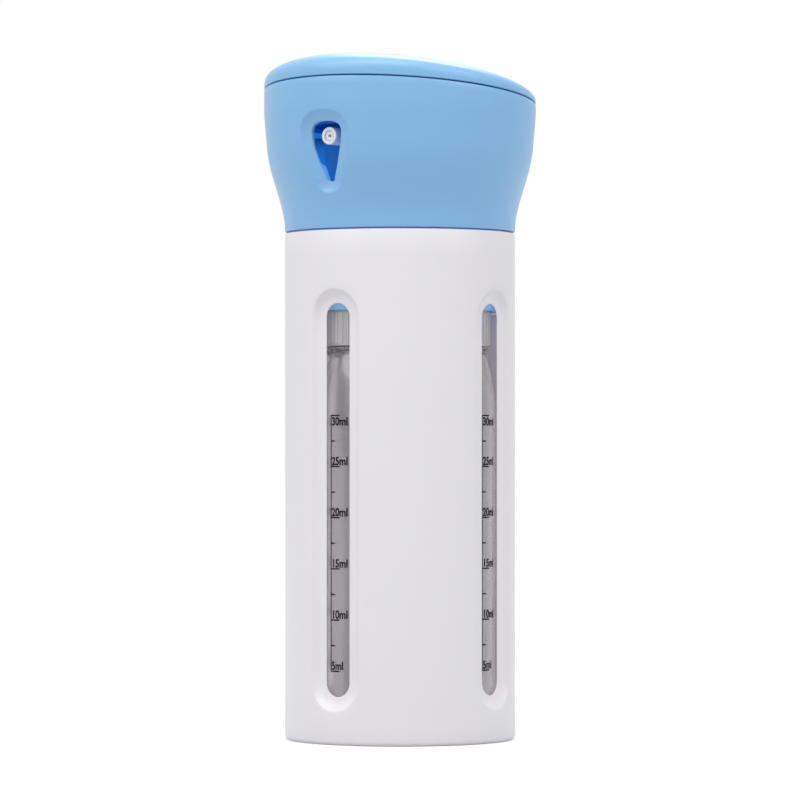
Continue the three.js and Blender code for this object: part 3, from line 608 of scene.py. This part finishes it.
# radius and height bounding the painted glow on the head's inward faces
HEAD_PAINTED_GLOW_REACH = (HEAD_INNER + 0.1, HEAD_BOTTOM + 1)
OPENING_SPAN = 6  # half the field's width, in columns
OPENING_ROWS = (7, 22)
SIDE_STEPS = 15
OPENING_TOP, OPENING_BOTTOM, OPENING_HALF = 162.8, 147.1, 4.65
CROWN_DROP = 2.6  # from the top to the widest place
CROWN_PULL = (0.6, 0.6)  # corner of the crown: down from the top, share of the half width
SIDE_PULL = (0.62, 3.4, 3.7)  # bow of the side: share of the half width, up from the tip, down from the crown
TIP_RADIUS, TIP_RISE = 1.3, 0.8
DISH_WALL = 0.6  # least wall behind the dish
DROP_DISH = (  # spread beyond the opening and depth, in millimetres
    (3.1, 0.0), (2.95, 0.03), (2.75, 0.16), (2.45, 0.42), (2.0, 0.72), (1.4, 1.03), (0.8, 1.27),
    (0.3, 1.42), (0.1, 1.5), (0.0, 1.64))
FLARE_HANDLES = ((30.7, HEAD_BOTTOM), (30.7, 143.1), (35.35, 150.0), FLARE)
FLARE_STEPS = 60
RIM_EDGE = ((RIM_RADIUS - 0.1, RIM_HEIGHT - 1.1), (RIM_RADIUS, RIM_HEIGHT + 0.6))
OVER_ALL = 200.0


def bezier(points, steps):
    """Points of a Bezier line, without its last."""
    def at(share):
        line = [Vector(point) for point in points]
        while len(line) > 1:
            line = [a.lerp(b, share) for a, b in zip(line, line[1:])]
        return line[0]
    return [at(i / steps) for i in range(steps)]


FLARE_LINE = [*map(tuple, bezier(FLARE_HANDLES, FLARE_STEPS)), FLARE, *RIM_EDGE, (RIM_RADIUS, OVER_ALL)]


def flare(height):
    """Radius of the head's outside at a height."""
    for (r0, z0), (r1, z1) in zip(FLARE_LINE, FLARE_LINE[1:]):
        if height <= z1:
            return r0 + (r1 - r0) * max(height - z0, 0) / (z1 - z0)
    return RIM_RADIUS


def seam(angle, radius):
    """Height of the leaning joint between head and cover."""
    return SEAM_HEIGHT + SEAM_SLOPE * radius * math.cos(angle)


# Rules for one row of a shell: each gives (radius, height) at an angle from -Y


def level_at(radius, height):
    return lambda angle: (radius, height)


def at_seam(radius, lift, over=None):
    """A row that leans as the seam over a radius does."""
    return lambda angle: (radius, seam(angle, over or radius) + lift)


def ring_of(rule):
    """A ring from its rule."""
    points = []
    for k in range(COLUMNS):
        angle = 2 * math.pi * k / COLUMNS
        radius, height = rule(angle)
        points.append((radius * math.sin(angle), -radius * math.cos(angle), height))
    return points


def drop_outline():
    """The outlet opening's (x, height) outline, counter-clockwise from the lower right."""
    widest, tip, side = OPENING_TOP - CROWN_DROP, OPENING_BOTTOM + TIP_RADIUS * TIP_RISE, OPENING_HALF
    bow, over_tip, under_crown = SIDE_PULL
    right = bezier(((TIP_RADIUS, tip), (side * bow, tip + over_tip), (side, widest - under_crown),
                    (side, widest)), SIDE_STEPS)
    crown = bezier(((side, widest), (side, OPENING_TOP - CROWN_PULL[0]), (side * CROWN_PULL[1], OPENING_TOP),
                    (0, OPENING_TOP)), OPENING_SPAN)
    toe = bezier(((-TIP_RADIUS, tip), (-TIP_RADIUS, OPENING_BOTTOM), (0, OPENING_BOTTOM)), OPENING_SPAN)
    half = right + crown
    mirrored = [Vector((-p.x, p.y)) for p in reversed(half)]
    toe_right = [Vector((-p.x, p.y)) for p in reversed(toe)]
    return (half + [Vector((0, OPENING_TOP))] + mirrored + toe[1:] + [Vector((0, OPENING_BOTTOM))]
            + toe_right[:-1])


def spread_out(line, spread):
    """A closed line moved out along its own normals."""
    moved = []
    for i, point in enumerate(line):
        run = line[(i + 1) % len(line)] - line[i - 1]
        moved.append(point + Vector((run.y, -run.x)).normalized() * spread)
    return moved


def head_mesh():
    low = HEAD_BOTTOM + HEAD_EDGE

    def outer_row(share):
        def rule(angle):
            height = low + share * (seam(angle, RIM_RADIUS) - HEAD_EDGE - low)
            return flare(height), height
        return rule

    def inner_row(share):
        return lambda angle: (HEAD_INNER, INNER_BOTTOM
                              + share * (seam(angle, HEAD_INNER) - INNER_EDGE - INNER_BOTTOM))

    rules = [level_at(flare(low) - inward, HEAD_BOTTOM + up) for inward, up in BOTTOM_EDGE]
    rules += [outer_row(i / OUTER_ROWS) for i in range(OUTER_ROWS + 1)]
    rules += [at_seam(RIM_RADIUS - inward, -down, RIM_RADIUS) for inward, down in SEAM_EDGE]
    rules.append(at_seam(HEAD_INNER + INNER_EDGE, 0, HEAD_INNER))
    rules += [inner_row(i / INNER_ROWS) for i in range(INNER_ROWS, -1, -1)]
    rows = [ring_of(rule) for rule in rules] + [around(r, z, COLUMNS) for r, z in HEAD_STEPS]
    inner_low = len(rules) + HEAD_STEPS.index((THICK_INNER, 146.6))
    outline = drop_outline()

    def inner_radius(height):
        if height > INNER_BOTTOM:
            return HEAD_INNER
        share = max(0, height - THICK_TOP) / (INNER_BOTTOM - THICK_TOP)
        return THICK_INNER + (HEAD_INNER - THICK_INNER) * share

    def opening(centre):
        loops = []
        for spread, depth in DROP_DISH:
            loops.append([on_wall(p.x, p.y, flare(p.y), depth, centre) for p in spread_out(outline, spread)])
        inner = []
        for p in outline:
            radius = min(inner_radius(p.y), flare(p.y) - DROP_DISH[-1][1] - DISH_WALL)
            inner.append(on_wall(p.x, p.y, radius, 0, centre))
        return loops + [inner]

    shape = shell_with_openings(rows, OPENING_ROWS, (inner_low, inner_low - SIDE_STEPS), OPENING_SPAN, [0],
                                opening)
    return mesh_of(shape, "head_look")


# Cover and button, which share one leaning dome

DOME_POWERS = (3, 3.5)  # how square the dome's section is towards its side and its top
DOME_CROWN = 0.2  # share of the height that a plain arch adds
DOME_SHARES = (0.12, 0.21, 0.3, 0.39, 0.48, 0.56, 0.64, 0.71, 0.77, 0.82, 0.86, 0.9)
COVER_EDGE = ((33.0, 0.0), (36.1, 0.0), (36.26, 0.07))  # radius, height over the joint
HOLE_EDGE = ((22.6, 0.0), (22.4, 0.05), (22.3, 0.25))  # radius, drop from the dome
GUIDE = ((22.3, 168.9), (23.6, 168.7), (23.6, 163.3), (23.75, 163.1), (24.45, 163.1), (24.6, 163.3))
COVER_UNDER = ((24.6, 1.8), (28.0, 1.8), (31.2, 1.8), (31.7, 2.3))  # radius, drop from the dome
SKIRT = ((31.7, 163.6), (31.85, 163.4), (32.75, 163.4), (32.9, 163.6))
SKIRT_TOP = (32.9, -0.2)  # radius, height over the joint
THUMB_RADIUS, THUMB_DEPTH = 13.8, 0.9
BUTTON_WALL = 2.1
BUTTON_UNDER = (0, 5.0, 10.0, 15.0, 19.8)  # radii of the rows on the underside
BUTTON_CORNER = (20.6, 2.9)  # radius, drop from the dome
BUTTON_FLANGE = (  # radius, height over the button's lower end
    (20.6, 0.2), (20.75, 0), (22.55, 0), (22.7, 0.15), (22.7, 0.85), (22.55, 1), (22.1, 1), (22.0, 1.2))
BUTTON_RIM = ((22.0, 0.3), (21.93, 0.07), (21.7, 0))  # radius, drop from the dome
BUTTON_TOP = (20, 18, 16, 14.5, 13.5, 12.5, 11.5, 10, 8.5, 7, 5.5, 4, 2.5, 1, 0)
PRESSER = ((0, 161.9, 0), (4.0, 161.9, 0.5), (4.0, 179.2, 0), (0, 179.2, 0))
POST = ((0, 166.1, 0), (2.8, 166.1, 0.4), (2.8, 168.6, 0), (5.0, 168.6, 0.3), (5.0, 175.9, 0), (0, 175.9, 0))


def dome(angle, radius):
    """Height of the dome over a point at that angle and radius."""
    forward = radius * math.cos(angle)
    share = min(radius / RIM_RADIUS, 1.0)
    arch = (1 - share ** DOME_POWERS[0]) ** (1 / DOME_POWERS[1]) + DOME_CROWN * (1 - share ** 2)
    return SEAM_HEIGHT + SEAM_GAP + SEAM_SLOPE * forward + COVER_HEIGHT * (1 + COVER_TAPER * forward) * arch


def rows_mesh(rules, poles=False):
    """A shell from the rules of its rows. With poles, its first and last rows are single points."""
    shape = bmesh.new()
    rings = [ring_of(rule) for rule in rules]
    if poles:
        rings[0], rings[-1] = rings[0][:1], rings[-1][:1]
    rows = [add_row(shape, ring) for ring in rings]
    pairs = list(zip(rows, rows[1:])) + ([] if poles else [(rows[-1], rows[0])])
    for low, high in pairs:
        join_loops(shape, low, high)
    return shape


def over_dome(radius, drop=0.0):
    return lambda angle: (radius, dome(angle, radius) - drop)


def cover_mesh():
    rules = [at_seam(radius, SEAM_GAP + lift) for radius, lift in COVER_EDGE]
    rules += [over_dome(RIM_RADIUS * (1 - share ** DOME_POWERS[1]) ** (1 / DOME_POWERS[0]))
              for share in DOME_SHARES]
    rules += [over_dome(*row) for row in HOLE_EDGE] + [level_at(*row) for row in GUIDE]
    rules += [over_dome(*row) for row in COVER_UNDER] + [level_at(*row) for row in SKIRT]
    rules.append(at_seam(SKIRT_TOP[0], SEAM_GAP + SKIRT_TOP[1]))
    return mesh_of(rows_mesh(rules), "cover_look")


def thumb_drop(radius):
    """Depth of the shallow dish for the thumb."""
    return THUMB_DEPTH * (1 - (radius / THUMB_RADIUS) ** 2) ** 2 if radius < THUMB_RADIUS else 0.0


def button_mesh():
    rules = [over_dome(radius, BUTTON_WALL + thumb_drop(radius)) for radius in BUTTON_UNDER]
    rules.append(over_dome(*BUTTON_CORNER))
    rules += [level_at(radius, BUTTON_BOTTOM + lift) for radius, lift in BUTTON_FLANGE]
    rules += [over_dome(*row) for row in BUTTON_RIM]
    rules += [over_dome(radius, thumb_drop(radius)) for radius in BUTTON_TOP]
    shape = rows_mesh(rules, poles=True)
    revolve(shape, rounded(PRESSER), ROUND_POST, closed=False, place=shift(0, -BOTTLE_OFFSET, 0))
    revolve(shape, rounded(POST), ROUND_POST, closed=False)
    return mesh_of(shape, "button_look")


# Carrier

CARRIER_LINE = (  # radius, height and rounding
    (0, 148.6, 0), (3.6, 148.6, 0), (3.6, 118.4, 0), (5.05, 118.4, 0), (5.05, 113.7, 0.2),
    (27.5, 113.7, 0.3), (28.4, 115.3, 0.3), (28.4, 142.0, 0.1), (28.9, 142.4, 0.2), (28.9, 142.8, 0.2),
    (28.4, 143.2, 0.1), (28.4, 143.8, 0.3), (26.8, 143.8, 0.3), (26.8, 120.4, 0.5), (5.0, 120.4, 0.5),
    (5.0, 150.0, 0.3), (2.8, 150.0, 0), (2.8, 152.5, 0.3), (0, 152.5, 0))
SOCKET_LINE = ((0, 112), (10.7, 112), (10.7, 118.4), (5.4, 118.4), (5.4, 122), (0, 122))
# radius and height bounding the painted glow on the carrier's inward faces
CARRIER_PAINTED_GLOW_REACH = (27.0, 120.2)


def carrier_mesh():
    shape = bmesh.new()
    revolve(shape, rounded(CARRIER_LINE), COLUMNS, closed=False)
    cutter = bmesh.new()
    for turn in TURNS:
        place = Matrix.Rotation(turn, 4, "Z") @ shift(0, -BOTTLE_OFFSET, 0)
        revolve(cutter, SOCKET_LINE, ROUND_MEDIUM, closed=False, place=place)
    return cut(mesh_of(shape, "carrier_look"), [mesh_of(cutter, "sockets")])


# Wound bars: the bottles' threads and the springs


def coil_tree():
    """A round bar wound up an axis: Radius, Height, Turns and Wire."""
    tree, given = new_tree("coil", (
        ("Radius", "Float", 0.004), ("Height", "Float", 0.02), ("Turns", "Float", 5.0),
        ("Wire", "Float", 0.0005)))
    path = add_node(tree, "GeometryNodeCurveSpiral", {"Resolution": 28}, {
        "Rotations": given["Turns"], "Start Radius": given["Radius"],
        "End Radius": given["Radius"], "Height": given["Height"]})
    section = add_node(tree, "GeometryNodeCurvePrimitiveCircle", {"Resolution": 12},
                       {"Radius": given["Wire"]})
    bar = add_node(tree, "GeometryNodeCurveToMesh", {"Fill Caps": True},
                   {"Curve": path.outputs["Curve"], "Profile Curve": section.outputs["Curve"]})
    end_tree(tree, bar.outputs["Mesh"], given)
    return tree


def wound_mesh(coil, finish, wound, turn=0.0, offset=0.0):
    """A bar from the coil tree. wound is its radius, its wire's, its low and high ends and its turns."""
    radius, wire, low, high, turns = wound
    mesh = run_tree(coil, finish, {
        "Radius": radius * MM, "Height": (high - low - 2 * wire) * MM, "Turns": turns, "Wire": wire * MM})
    mesh.transform(Matrix.Rotation(turn, 4, "Z") @ shift(0, -offset, low + wire))
    return mesh


# Bottles and their scale

BOTTLE_WALL = 0.85
SHOULDER_LOW, SHOULDER_TALL, SHOULDER_IN = 88, 15, 2.6
SHOULDER_EASE, SHOULDER_STEPS = 0.6, 10
NECK_BORE = 7.4
BOTTLE_BASE = ((0, 5.2, 0), (4, 5.1, 1), (8.2, 4.3, 1.2), (BOTTLE_RADIUS, 4.3, 1.7))
BOTTLE_NECK = (
    (9.0, 103.1, 0), (9.7, 103.15, 0.3), (9.7, 104.0, 0.3), (8.5, 104.0, 0.2), (8.5, 114.5, 0.3),
    (NECK_BORE, 114.5, 0.3), (NECK_BORE, 104.5, 0))
BOTTLE_FLOOR = ((10.8, 6.6, 1.4), (8.2, 5.3, 1.2), (4, 5.95, 1), (0, 6.0, 0))
THREAD = (8.45, 0.33, 106.67, 112.33, 2.0)
INK_LIFT, INK_THICK, INK_SPREAD = 0.03, 0.03, 0.08
SCALE_TOP, SCALE_STEP, SCALE_START = 86.1, 13.38, -2.65
TICK_LONG, TICK_SHORT, TICK_THICK = 2.9, 1.4, 0.36
STEM_THICK, STEM_EXTRA = 0.34, 0.26
FIGURE_CAP, FIGURE_WIDTH = 0.7, 0.86  # height of a capital and width, as shares of the font's
LABEL_IN, LABEL_OVER, LABEL_UNDER = 0.25, 0.42, 0.45  # the top label hangs under its mark
AMOUNTS = (30, 25, 20, 15, 10, 5)


def bottle_mesh(turn, coil):
    shares = [i / SHOULDER_STEPS for i in range(SHOULDER_STEPS + 1)]
    shoulder = [(BOTTLE_RADIUS - SHOULDER_IN * share * share * (1 + SHOULDER_EASE * (1 - share)),
                 SHOULDER_LOW + SHOULDER_TALL * share) for share in shares]
    line = [*BOTTLE_BASE] + [(radius, height, 0) for radius, height in shoulder] + [*BOTTLE_NECK]
    line += [(max(radius - BOTTLE_WALL, NECK_BORE), height, 0) for radius, height in reversed(shoulder)]
    line += BOTTLE_FLOOR
    shape = bmesh.new()
    revolve(shape, rounded(line), ROUND_BOTTLE, closed=False)
    shape.from_mesh(wound_mesh(coil, "bottle_clear", THREAD))
    return mesh_of(shape, "bottle_look", turn, BOTTLE_OFFSET)


def ticks_tree():
    """Equal bars up a scale: Count, Spacing, Length and Thick."""
    tree, given = new_tree("scale_ticks", (
        ("Count", "Int", 6), ("Spacing", "Float", 0.01), ("Length", "Float", 0.003),
        ("Thick", "Float", 0.0002)))
    step = add_node(tree, "ShaderNodeCombineXYZ", links={"Y": given["Spacing"]})
    line = add_node(tree, "GeometryNodeMeshLine", links={
        "Count": given["Count"], "Offset": step.outputs["Vector"]})
    size = add_node(tree, "ShaderNodeCombineXYZ", {"Z": INK_THICK * MM},
                    {"X": given["Length"], "Y": given["Thick"]})
    bar = add_node(tree, "GeometryNodeMeshCube", {"Vertices X": 8}, {"Size": size.outputs["Vector"]})
    bars = add_node(tree, "GeometryNodeInstanceOnPoints", links={
        "Points": line.outputs["Mesh"], "Instance": bar.outputs["Mesh"]})
    end_tree(tree, bars.outputs["Instances"], given)
    return tree


def figures(text, height):
    """A flat mesh of a label, in the plane of X and Y."""
    words = bpy.data.curves.new("label", "FONT")
    words.body, words.size = text, height / FIGURE_CAP
    words.extrude = INK_THICK * MM / 2
    words.offset = INK_SPREAD * MM
    mesh = evaluated(loose_object(words, "label"))
    mesh.transform(Matrix.Diagonal((FIGURE_WIDTH, 1, 1, 1)))
    return mesh


def scale_mesh(sizes, ticks, turn):
    """The printed scale, laid flat and then wrapped round the bottle."""
    shape = bmesh.new()
    marks = len(AMOUNTS)
    bottom = SCALE_TOP - SCALE_STEP * (marks - 1)
    for count, length, start in ((marks, TICK_LONG, 0.0), (marks - 1, TICK_SHORT, SCALE_STEP / 2)):
        rungs = run_tree(ticks, "scale_ink", {
            "Count": count, "Spacing": SCALE_STEP * MM, "Length": length * MM, "Thick": TICK_THICK * MM})
        rungs.transform(shift(SCALE_START + length / 2, bottom + start, 0))
        shape.from_mesh(rungs)
    stem = Vector((STEM_THICK, SCALE_TOP - bottom + STEM_EXTRA, INK_THICK)) * MM
    place = shift(SCALE_START, (SCALE_TOP + bottom) / 2, 0) @ Matrix.Diagonal((*stem, 1))
    bmesh.ops.create_cube(shape, size=1, matrix=place)
    for i, amount in enumerate(AMOUNTS):
        label = figures(f"{amount}ml", sizes.ink_height)
        rise = LABEL_OVER if i else -LABEL_UNDER - sizes.ink_height / MM
        label.transform(shift(SCALE_START + LABEL_IN, SCALE_TOP - SCALE_STEP * i + rise, 0))
        shape.from_mesh(label)
    for vert in shape.verts:
        bend = vert.co.x / (BOTTLE_RADIUS * MM)
        radius = BOTTLE_RADIUS * MM + vert.co.z + (INK_LIFT + INK_THICK / 2) * MM
        vert.co = (radius * math.sin(bend), -radius * math.cos(bend), vert.co.y)
    return mesh_of(shape, "scale_look", turn, BOTTLE_OFFSET)


# Closures, pumps and springs. Lines give radius, height and rounding.

CLOSURE_LINE = (
    (8.9, 104.4, 0.2), (10.1, 104.4, 0.3), (10.1, 117.5, 0), (10.1, 118.1, 0.6), (5.4, 118.1, 0.2),
    (5.4, 116.5, 0.1), (8.9, 116.5, 0.3))
GRIP_RING, GRIP_TALL, GRIP_MIDDLE = 10.05, 8.2, 109.2
GRIP_SHARE = 0.75  # of a rib's size that stands out


def ribs_tree():
    """Half-round ribs round a ring: Count, Ring, Size and Height."""
    tree, given = new_tree("closure_ribs", (
        ("Count", "Int", 36), ("Ring", "Float", 0.01), ("Size", "Float", 0.0009),
        ("Height", "Float", 0.008)))
    ring = add_node(tree, "GeometryNodeMeshCircle", links={
        "Vertices": given["Count"], "Radius": given["Ring"]})
    half = add_node(tree, "ShaderNodeMath", {1: 0.5}, {0: given["Size"]}, operation="MULTIPLY")
    rib = add_node(tree, "GeometryNodeMeshCylinder", {"Vertices": 10},
                   {"Radius": half.outputs[0], "Depth": given["Height"]})
    ribs = add_node(tree, "GeometryNodeInstanceOnPoints", links={
        "Points": ring.outputs["Mesh"], "Instance": rib.outputs["Mesh"]})
    end_tree(tree, ribs.outputs["Instances"], given)
    return tree


def closure_mesh(sizes, ribs, turn):
    shape = turned(CLOSURE_LINE, ROUND_BOTTLE)
    grip = run_tree(ribs, "closure_natural", {
        "Count": sizes.rib_count, "Ring": GRIP_RING * MM, "Size": sizes.rib_size * GRIP_SHARE,
        "Height": GRIP_TALL * MM})
    grip.transform(shift(0, 0, GRIP_MIDDLE))
    shape.from_mesh(grip)
    return mesh_of(shape, "closure_look", turn, BOTTLE_OFFSET)


PUMP_LINES = {
    "gasket": ((5.8, 114.6, 0.15), (8.4, 114.6, 0.15), (8.4, 115.4, 0.15), (5.8, 115.4, 0.15)),
    "pump_housing": (
        (2.1, 76.3, 0.2), (3.0, 76.3, 0.2), (3.0, 82.3, 0.6), (5.1, 85.5, 1.0), (5.1, 115.5, 0.3),
        (8.4, 115.5, 0.15), (8.4, 116.4, 0.15), (5.1, 116.4, 0.2), (5.1, 122.9, 0.2), (4.1, 122.9, 0.2),
        (4.1, 86.1, 0.6), (2.25, 83.4, 0.1), (1.25, 82.9, 0.1), (1.25, 81.9, 0.1), (2.1, 81.9, 0)),
    "dip_tube": ((1.35, 7.6, 0.1), (2.0, 7.6, 0.1), (2.0, 81.8, 0.1), (1.35, 81.8, 0.1)),
    "piston_stem": (
        (1.3, 105.5, 0.1), (4.0, 105.5, 0.3), (4.0, 107.0, 0.3), (3.7, 107.4, 0.2), (4.0, 109.5, 0.3),
        (2.6, 110.5, 0.4), (2.6, 155.7, 0.2), (1.3, 155.7, 0.2)),
    "collar": (
        (5.4, 120.5, 0.1), (8.4, 120.5, 0.2), (8.4, 123.5, 0.5), (5.7, 124.9, 0.8), (4.5, 132.0, 1.0),
        (4.5, 138.0, 0.4), (2.9, 138.0, 0.2), (2.9, 123.0, 0), (5.4, 123.0, 0)),
}
PUMP_PIECES = (  # name, finish and whether it moves with the pump's stroke
    ("gasket", "gasket_rubber", False), ("pump_housing", "closure_natural", False),
    ("valve_ball", "spring_steel", False), ("dip_tube", "closure_natural", False),
    ("piston_stem", "pump_white", True), ("collar", "pump_white", False), ("actuator", "pump_white", True))
BALL_RADIUS, BALL_HEIGHT, BALL_STEPS = 1.8, 84.4, 14
OUTLET_HEIGHT = 159.0
ACTUATOR_LINE = ((5.3, 141.5, 0.2), (6.5, 141.5, 0.3), (6.5, 161.0, 0), (6.5, 161.6, 0.6),
                 (0.01, 161.6, 0), (0.01, 156.6, 0), (5.3, 156.6, 0.5))
STEM_SOCKET_LINE = ((2.7, 147.6, 0.1), (3.8, 147.6, 0.2), (3.8, 157.0, 0), (2.7, 157.0, 0))
NOZZLE_LINE = (  # radius, reach from the pump's axis and rounding
    (0, 3.0, 0), (2.3, 3.0, 0), (2.3, 16.15, 0.3), (1.5, 16.15, 0.12), (1.5, 15.3, 0.05),
    (1.15, 15.3, 0.05), (1.15, 15.75, 0.1), (0.5, 15.75, 0.1), (0.5, 12.0, 0), (0, 12.0, 0))
PUMP_SPRING, PUMP_SPRING_KEEP = (3.3, 0.5, 87.5, 105.4, 5.0), 0.777
BUTTON_SPRING, BUTTON_SPRING_KEEP = (3.7, 0.45, 150.1, 168.5, 6.0), 0.783
SPRING_SHARP = 60


def ball_mesh(turn):
    angles = [math.pi * i / BALL_STEPS for i in range(BALL_STEPS + 1)]
    shape = bmesh.new()
    revolve(shape, [(BALL_RADIUS * math.sin(a), BALL_HEIGHT - BALL_RADIUS * math.cos(a)) for a in angles],
            ROUND_BALL, closed=False)
    return mesh_of(shape, "ball_look", turn, BOTTLE_OFFSET)


def actuator_mesh(turn):
    shape = turned(ACTUATOR_LINE, ROUND_MEDIUM)
    revolve(shape, rounded(STEM_SOCKET_LINE), ROUND_POST)
    place = shift(0, 0, OUTLET_HEIGHT) @ Matrix.Rotation(math.pi / 2, 4, "X")
    revolve(shape, rounded(NOZZLE_LINE), ROUND_SMALL, closed=False, place=place)
    return mesh_of(shape, "actuator_look", turn, BOTTLE_OFFSET)


def pump_mesh(name, turn):
    """One piece of a pump, turned from its line or of a shape of its own."""
    if name == "valve_ball":
        return ball_mesh(turn)
    if name == "actuator":
        return actuator_mesh(turn)
    return mesh_of(turned(PUMP_LINES[name], ROUND_SMALL), name, turn, BOTTLE_OFFSET)


# Operators


def settings(context):
    return context.scene.dispenser_sizes, context.scene.dispenser_finishes


class DISPENSER_OT_stage(bpy.types.Operator):
    """Floor, sky, softboxes and camera"""

    bl_idname = "dispenser.stage"
    bl_label = "Stage"

    def execute(self, context):
        context.scene.view_settings.view_transform = "Standard"
        make_sky(context.scene)
        make_floor()
        make_softboxes(context.scene)
        make_camera(context.scene)
        return {"FINISHED"}


class DISPENSER_OT_finishes(bpy.types.Operator):
    """Plastics, rubber, steel and ink"""

    bl_idname = "dispenser.finishes"
    bl_label = "Finishes"

    def execute(self, context):
        FINISHES.update(make_finishes(settings(context)[1]))
        return {"FINISHED"}


class DISPENSER_OT_sleeve(bpy.types.Operator):
    """White sleeve with four windows"""

    bl_idname = "dispenser.sleeve"
    bl_label = "Sleeve"

    def execute(self, context):
        # The sleeve's bore gets a painted glow
        finish_piece("sleeve", sleeve_mesh(settings(context)[0]), "sleeve_white", "sleeve",
                     lit=("sleeve_painted_glow", SLEEVE_PAINTED_GLOW_REACH))
        return {"FINISHED"}


class DISPENSER_OT_head(bpy.types.Operator):
    """Flared head, cover and press button, and the carrier they turn on"""

    bl_idname = "dispenser.head"
    bl_label = "Head"

    def execute(self, context):
        # The inward faces of head and carrier get a painted glow
        finish_piece("head_shell", head_mesh(), "head_blue", "head", lit=("head_painted_glow", HEAD_PAINTED_GLOW_REACH))
        finish_piece("cover", cover_mesh(), "head_blue", "head")
        finish_piece("press_button", button_mesh(), "head_blue", "button")
        finish_piece("carrier", carrier_mesh(), "head_blue", "unit", lit=("head_painted_glow", CARRIER_PAINTED_GLOW_REACH))
        return {"FINISHED"}


class DISPENSER_OT_bottles(bpy.types.Operator):
    """Clear bottles with their printed scale and ribbed closures"""

    bl_idname = "dispenser.bottles"
    bl_label = "Bottles"

    def execute(self, context):
        sizes = settings(context)[0]
        coil, ticks, ribs = coil_tree(), ticks_tree(), ribs_tree()
        for k, turn in enumerate(TURNS):
            finish_piece(f"bottle_{k + 1}", bottle_mesh(turn, coil), "bottle_clear", "unit")
            finish_piece(f"scale_{k + 1}", scale_mesh(sizes, ticks, turn), "scale_ink", "unit")
        for k, turn in enumerate(TURNS):
            finish_piece(f"closure_{k + 1}", closure_mesh(sizes, ribs, turn), "closure_natural", "unit")
        return {"FINISHED"}


class DISPENSER_OT_pumps(bpy.types.Operator):
    """Pumps, with their springs and the button's"""

    bl_idname = "dispenser.pumps"
    bl_label = "Pumps"

    def execute(self, context):
        for k, turn in enumerate(TURNS):
            for name, finish, moves in PUMP_PIECES:
                body = f"pump_{k + 1}" if moves else "unit"
                finish_piece(f"{name}_{k + 1}", pump_mesh(name, turn), finish, body)
        coil = coil_tree()
        for k, turn in enumerate(TURNS):
            mesh = wound_mesh(coil, "spring_steel", PUMP_SPRING, turn, BOTTLE_OFFSET)
            spring = finish_piece(f"pump_spring_{k + 1}", mesh, "spring_steel", "unit", SPRING_SHARP)
            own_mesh(spring)
        mesh = wound_mesh(coil, "spring_steel", BUTTON_SPRING)
        spring = finish_piece("button_spring", mesh, "spring_steel", "unit", SPRING_SHARP)
        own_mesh(spring)
        return {"FINISHED"}


PIECES = (DISPENSER_OT_stage, DISPENSER_OT_finishes, DISPENSER_OT_sleeve, DISPENSER_OT_head,
          DISPENSER_OT_bottles, DISPENSER_OT_pumps)


class DISPENSER_PT_panel(bpy.types.Panel):
    """The dispenser's settings and pieces"""

    bl_idname = "DISPENSER_PT_panel"
    bl_label = "Dispenser"
    bl_space_type = "VIEW_3D"
    bl_region_type = "UI"
    bl_category = "Dispenser"

    def draw(self, context):
        for group in settings(context):
            for name in group.bl_rna.properties.keys():
                if name not in ("rna_type", "name"):
                    self.layout.prop(group, name)
        for piece in PIECES:
            self.layout.operator(piece.bl_idname)


CLASSES = (DispenserSizes, DispenserFinishes, *PIECES, DISPENSER_PT_panel)


def register():
    for made in CLASSES:
        bpy.utils.register_class(made)
    bpy.types.Scene.dispenser_sizes = bpy.props.PointerProperty(type=DispenserSizes)
    bpy.types.Scene.dispenser_finishes = bpy.props.PointerProperty(type=DispenserFinishes)


def unregister():
    del bpy.types.Scene.dispenser_finishes
    del bpy.types.Scene.dispenser_sizes
    for made in reversed(CLASSES):
        bpy.utils.unregister_class(made)


def main():
    register()
    for piece in PIECES:
        getattr(bpy.ops.dispenser, piece.bl_idname.split(".")[1])()


if __name__ == "__main__":
    main()
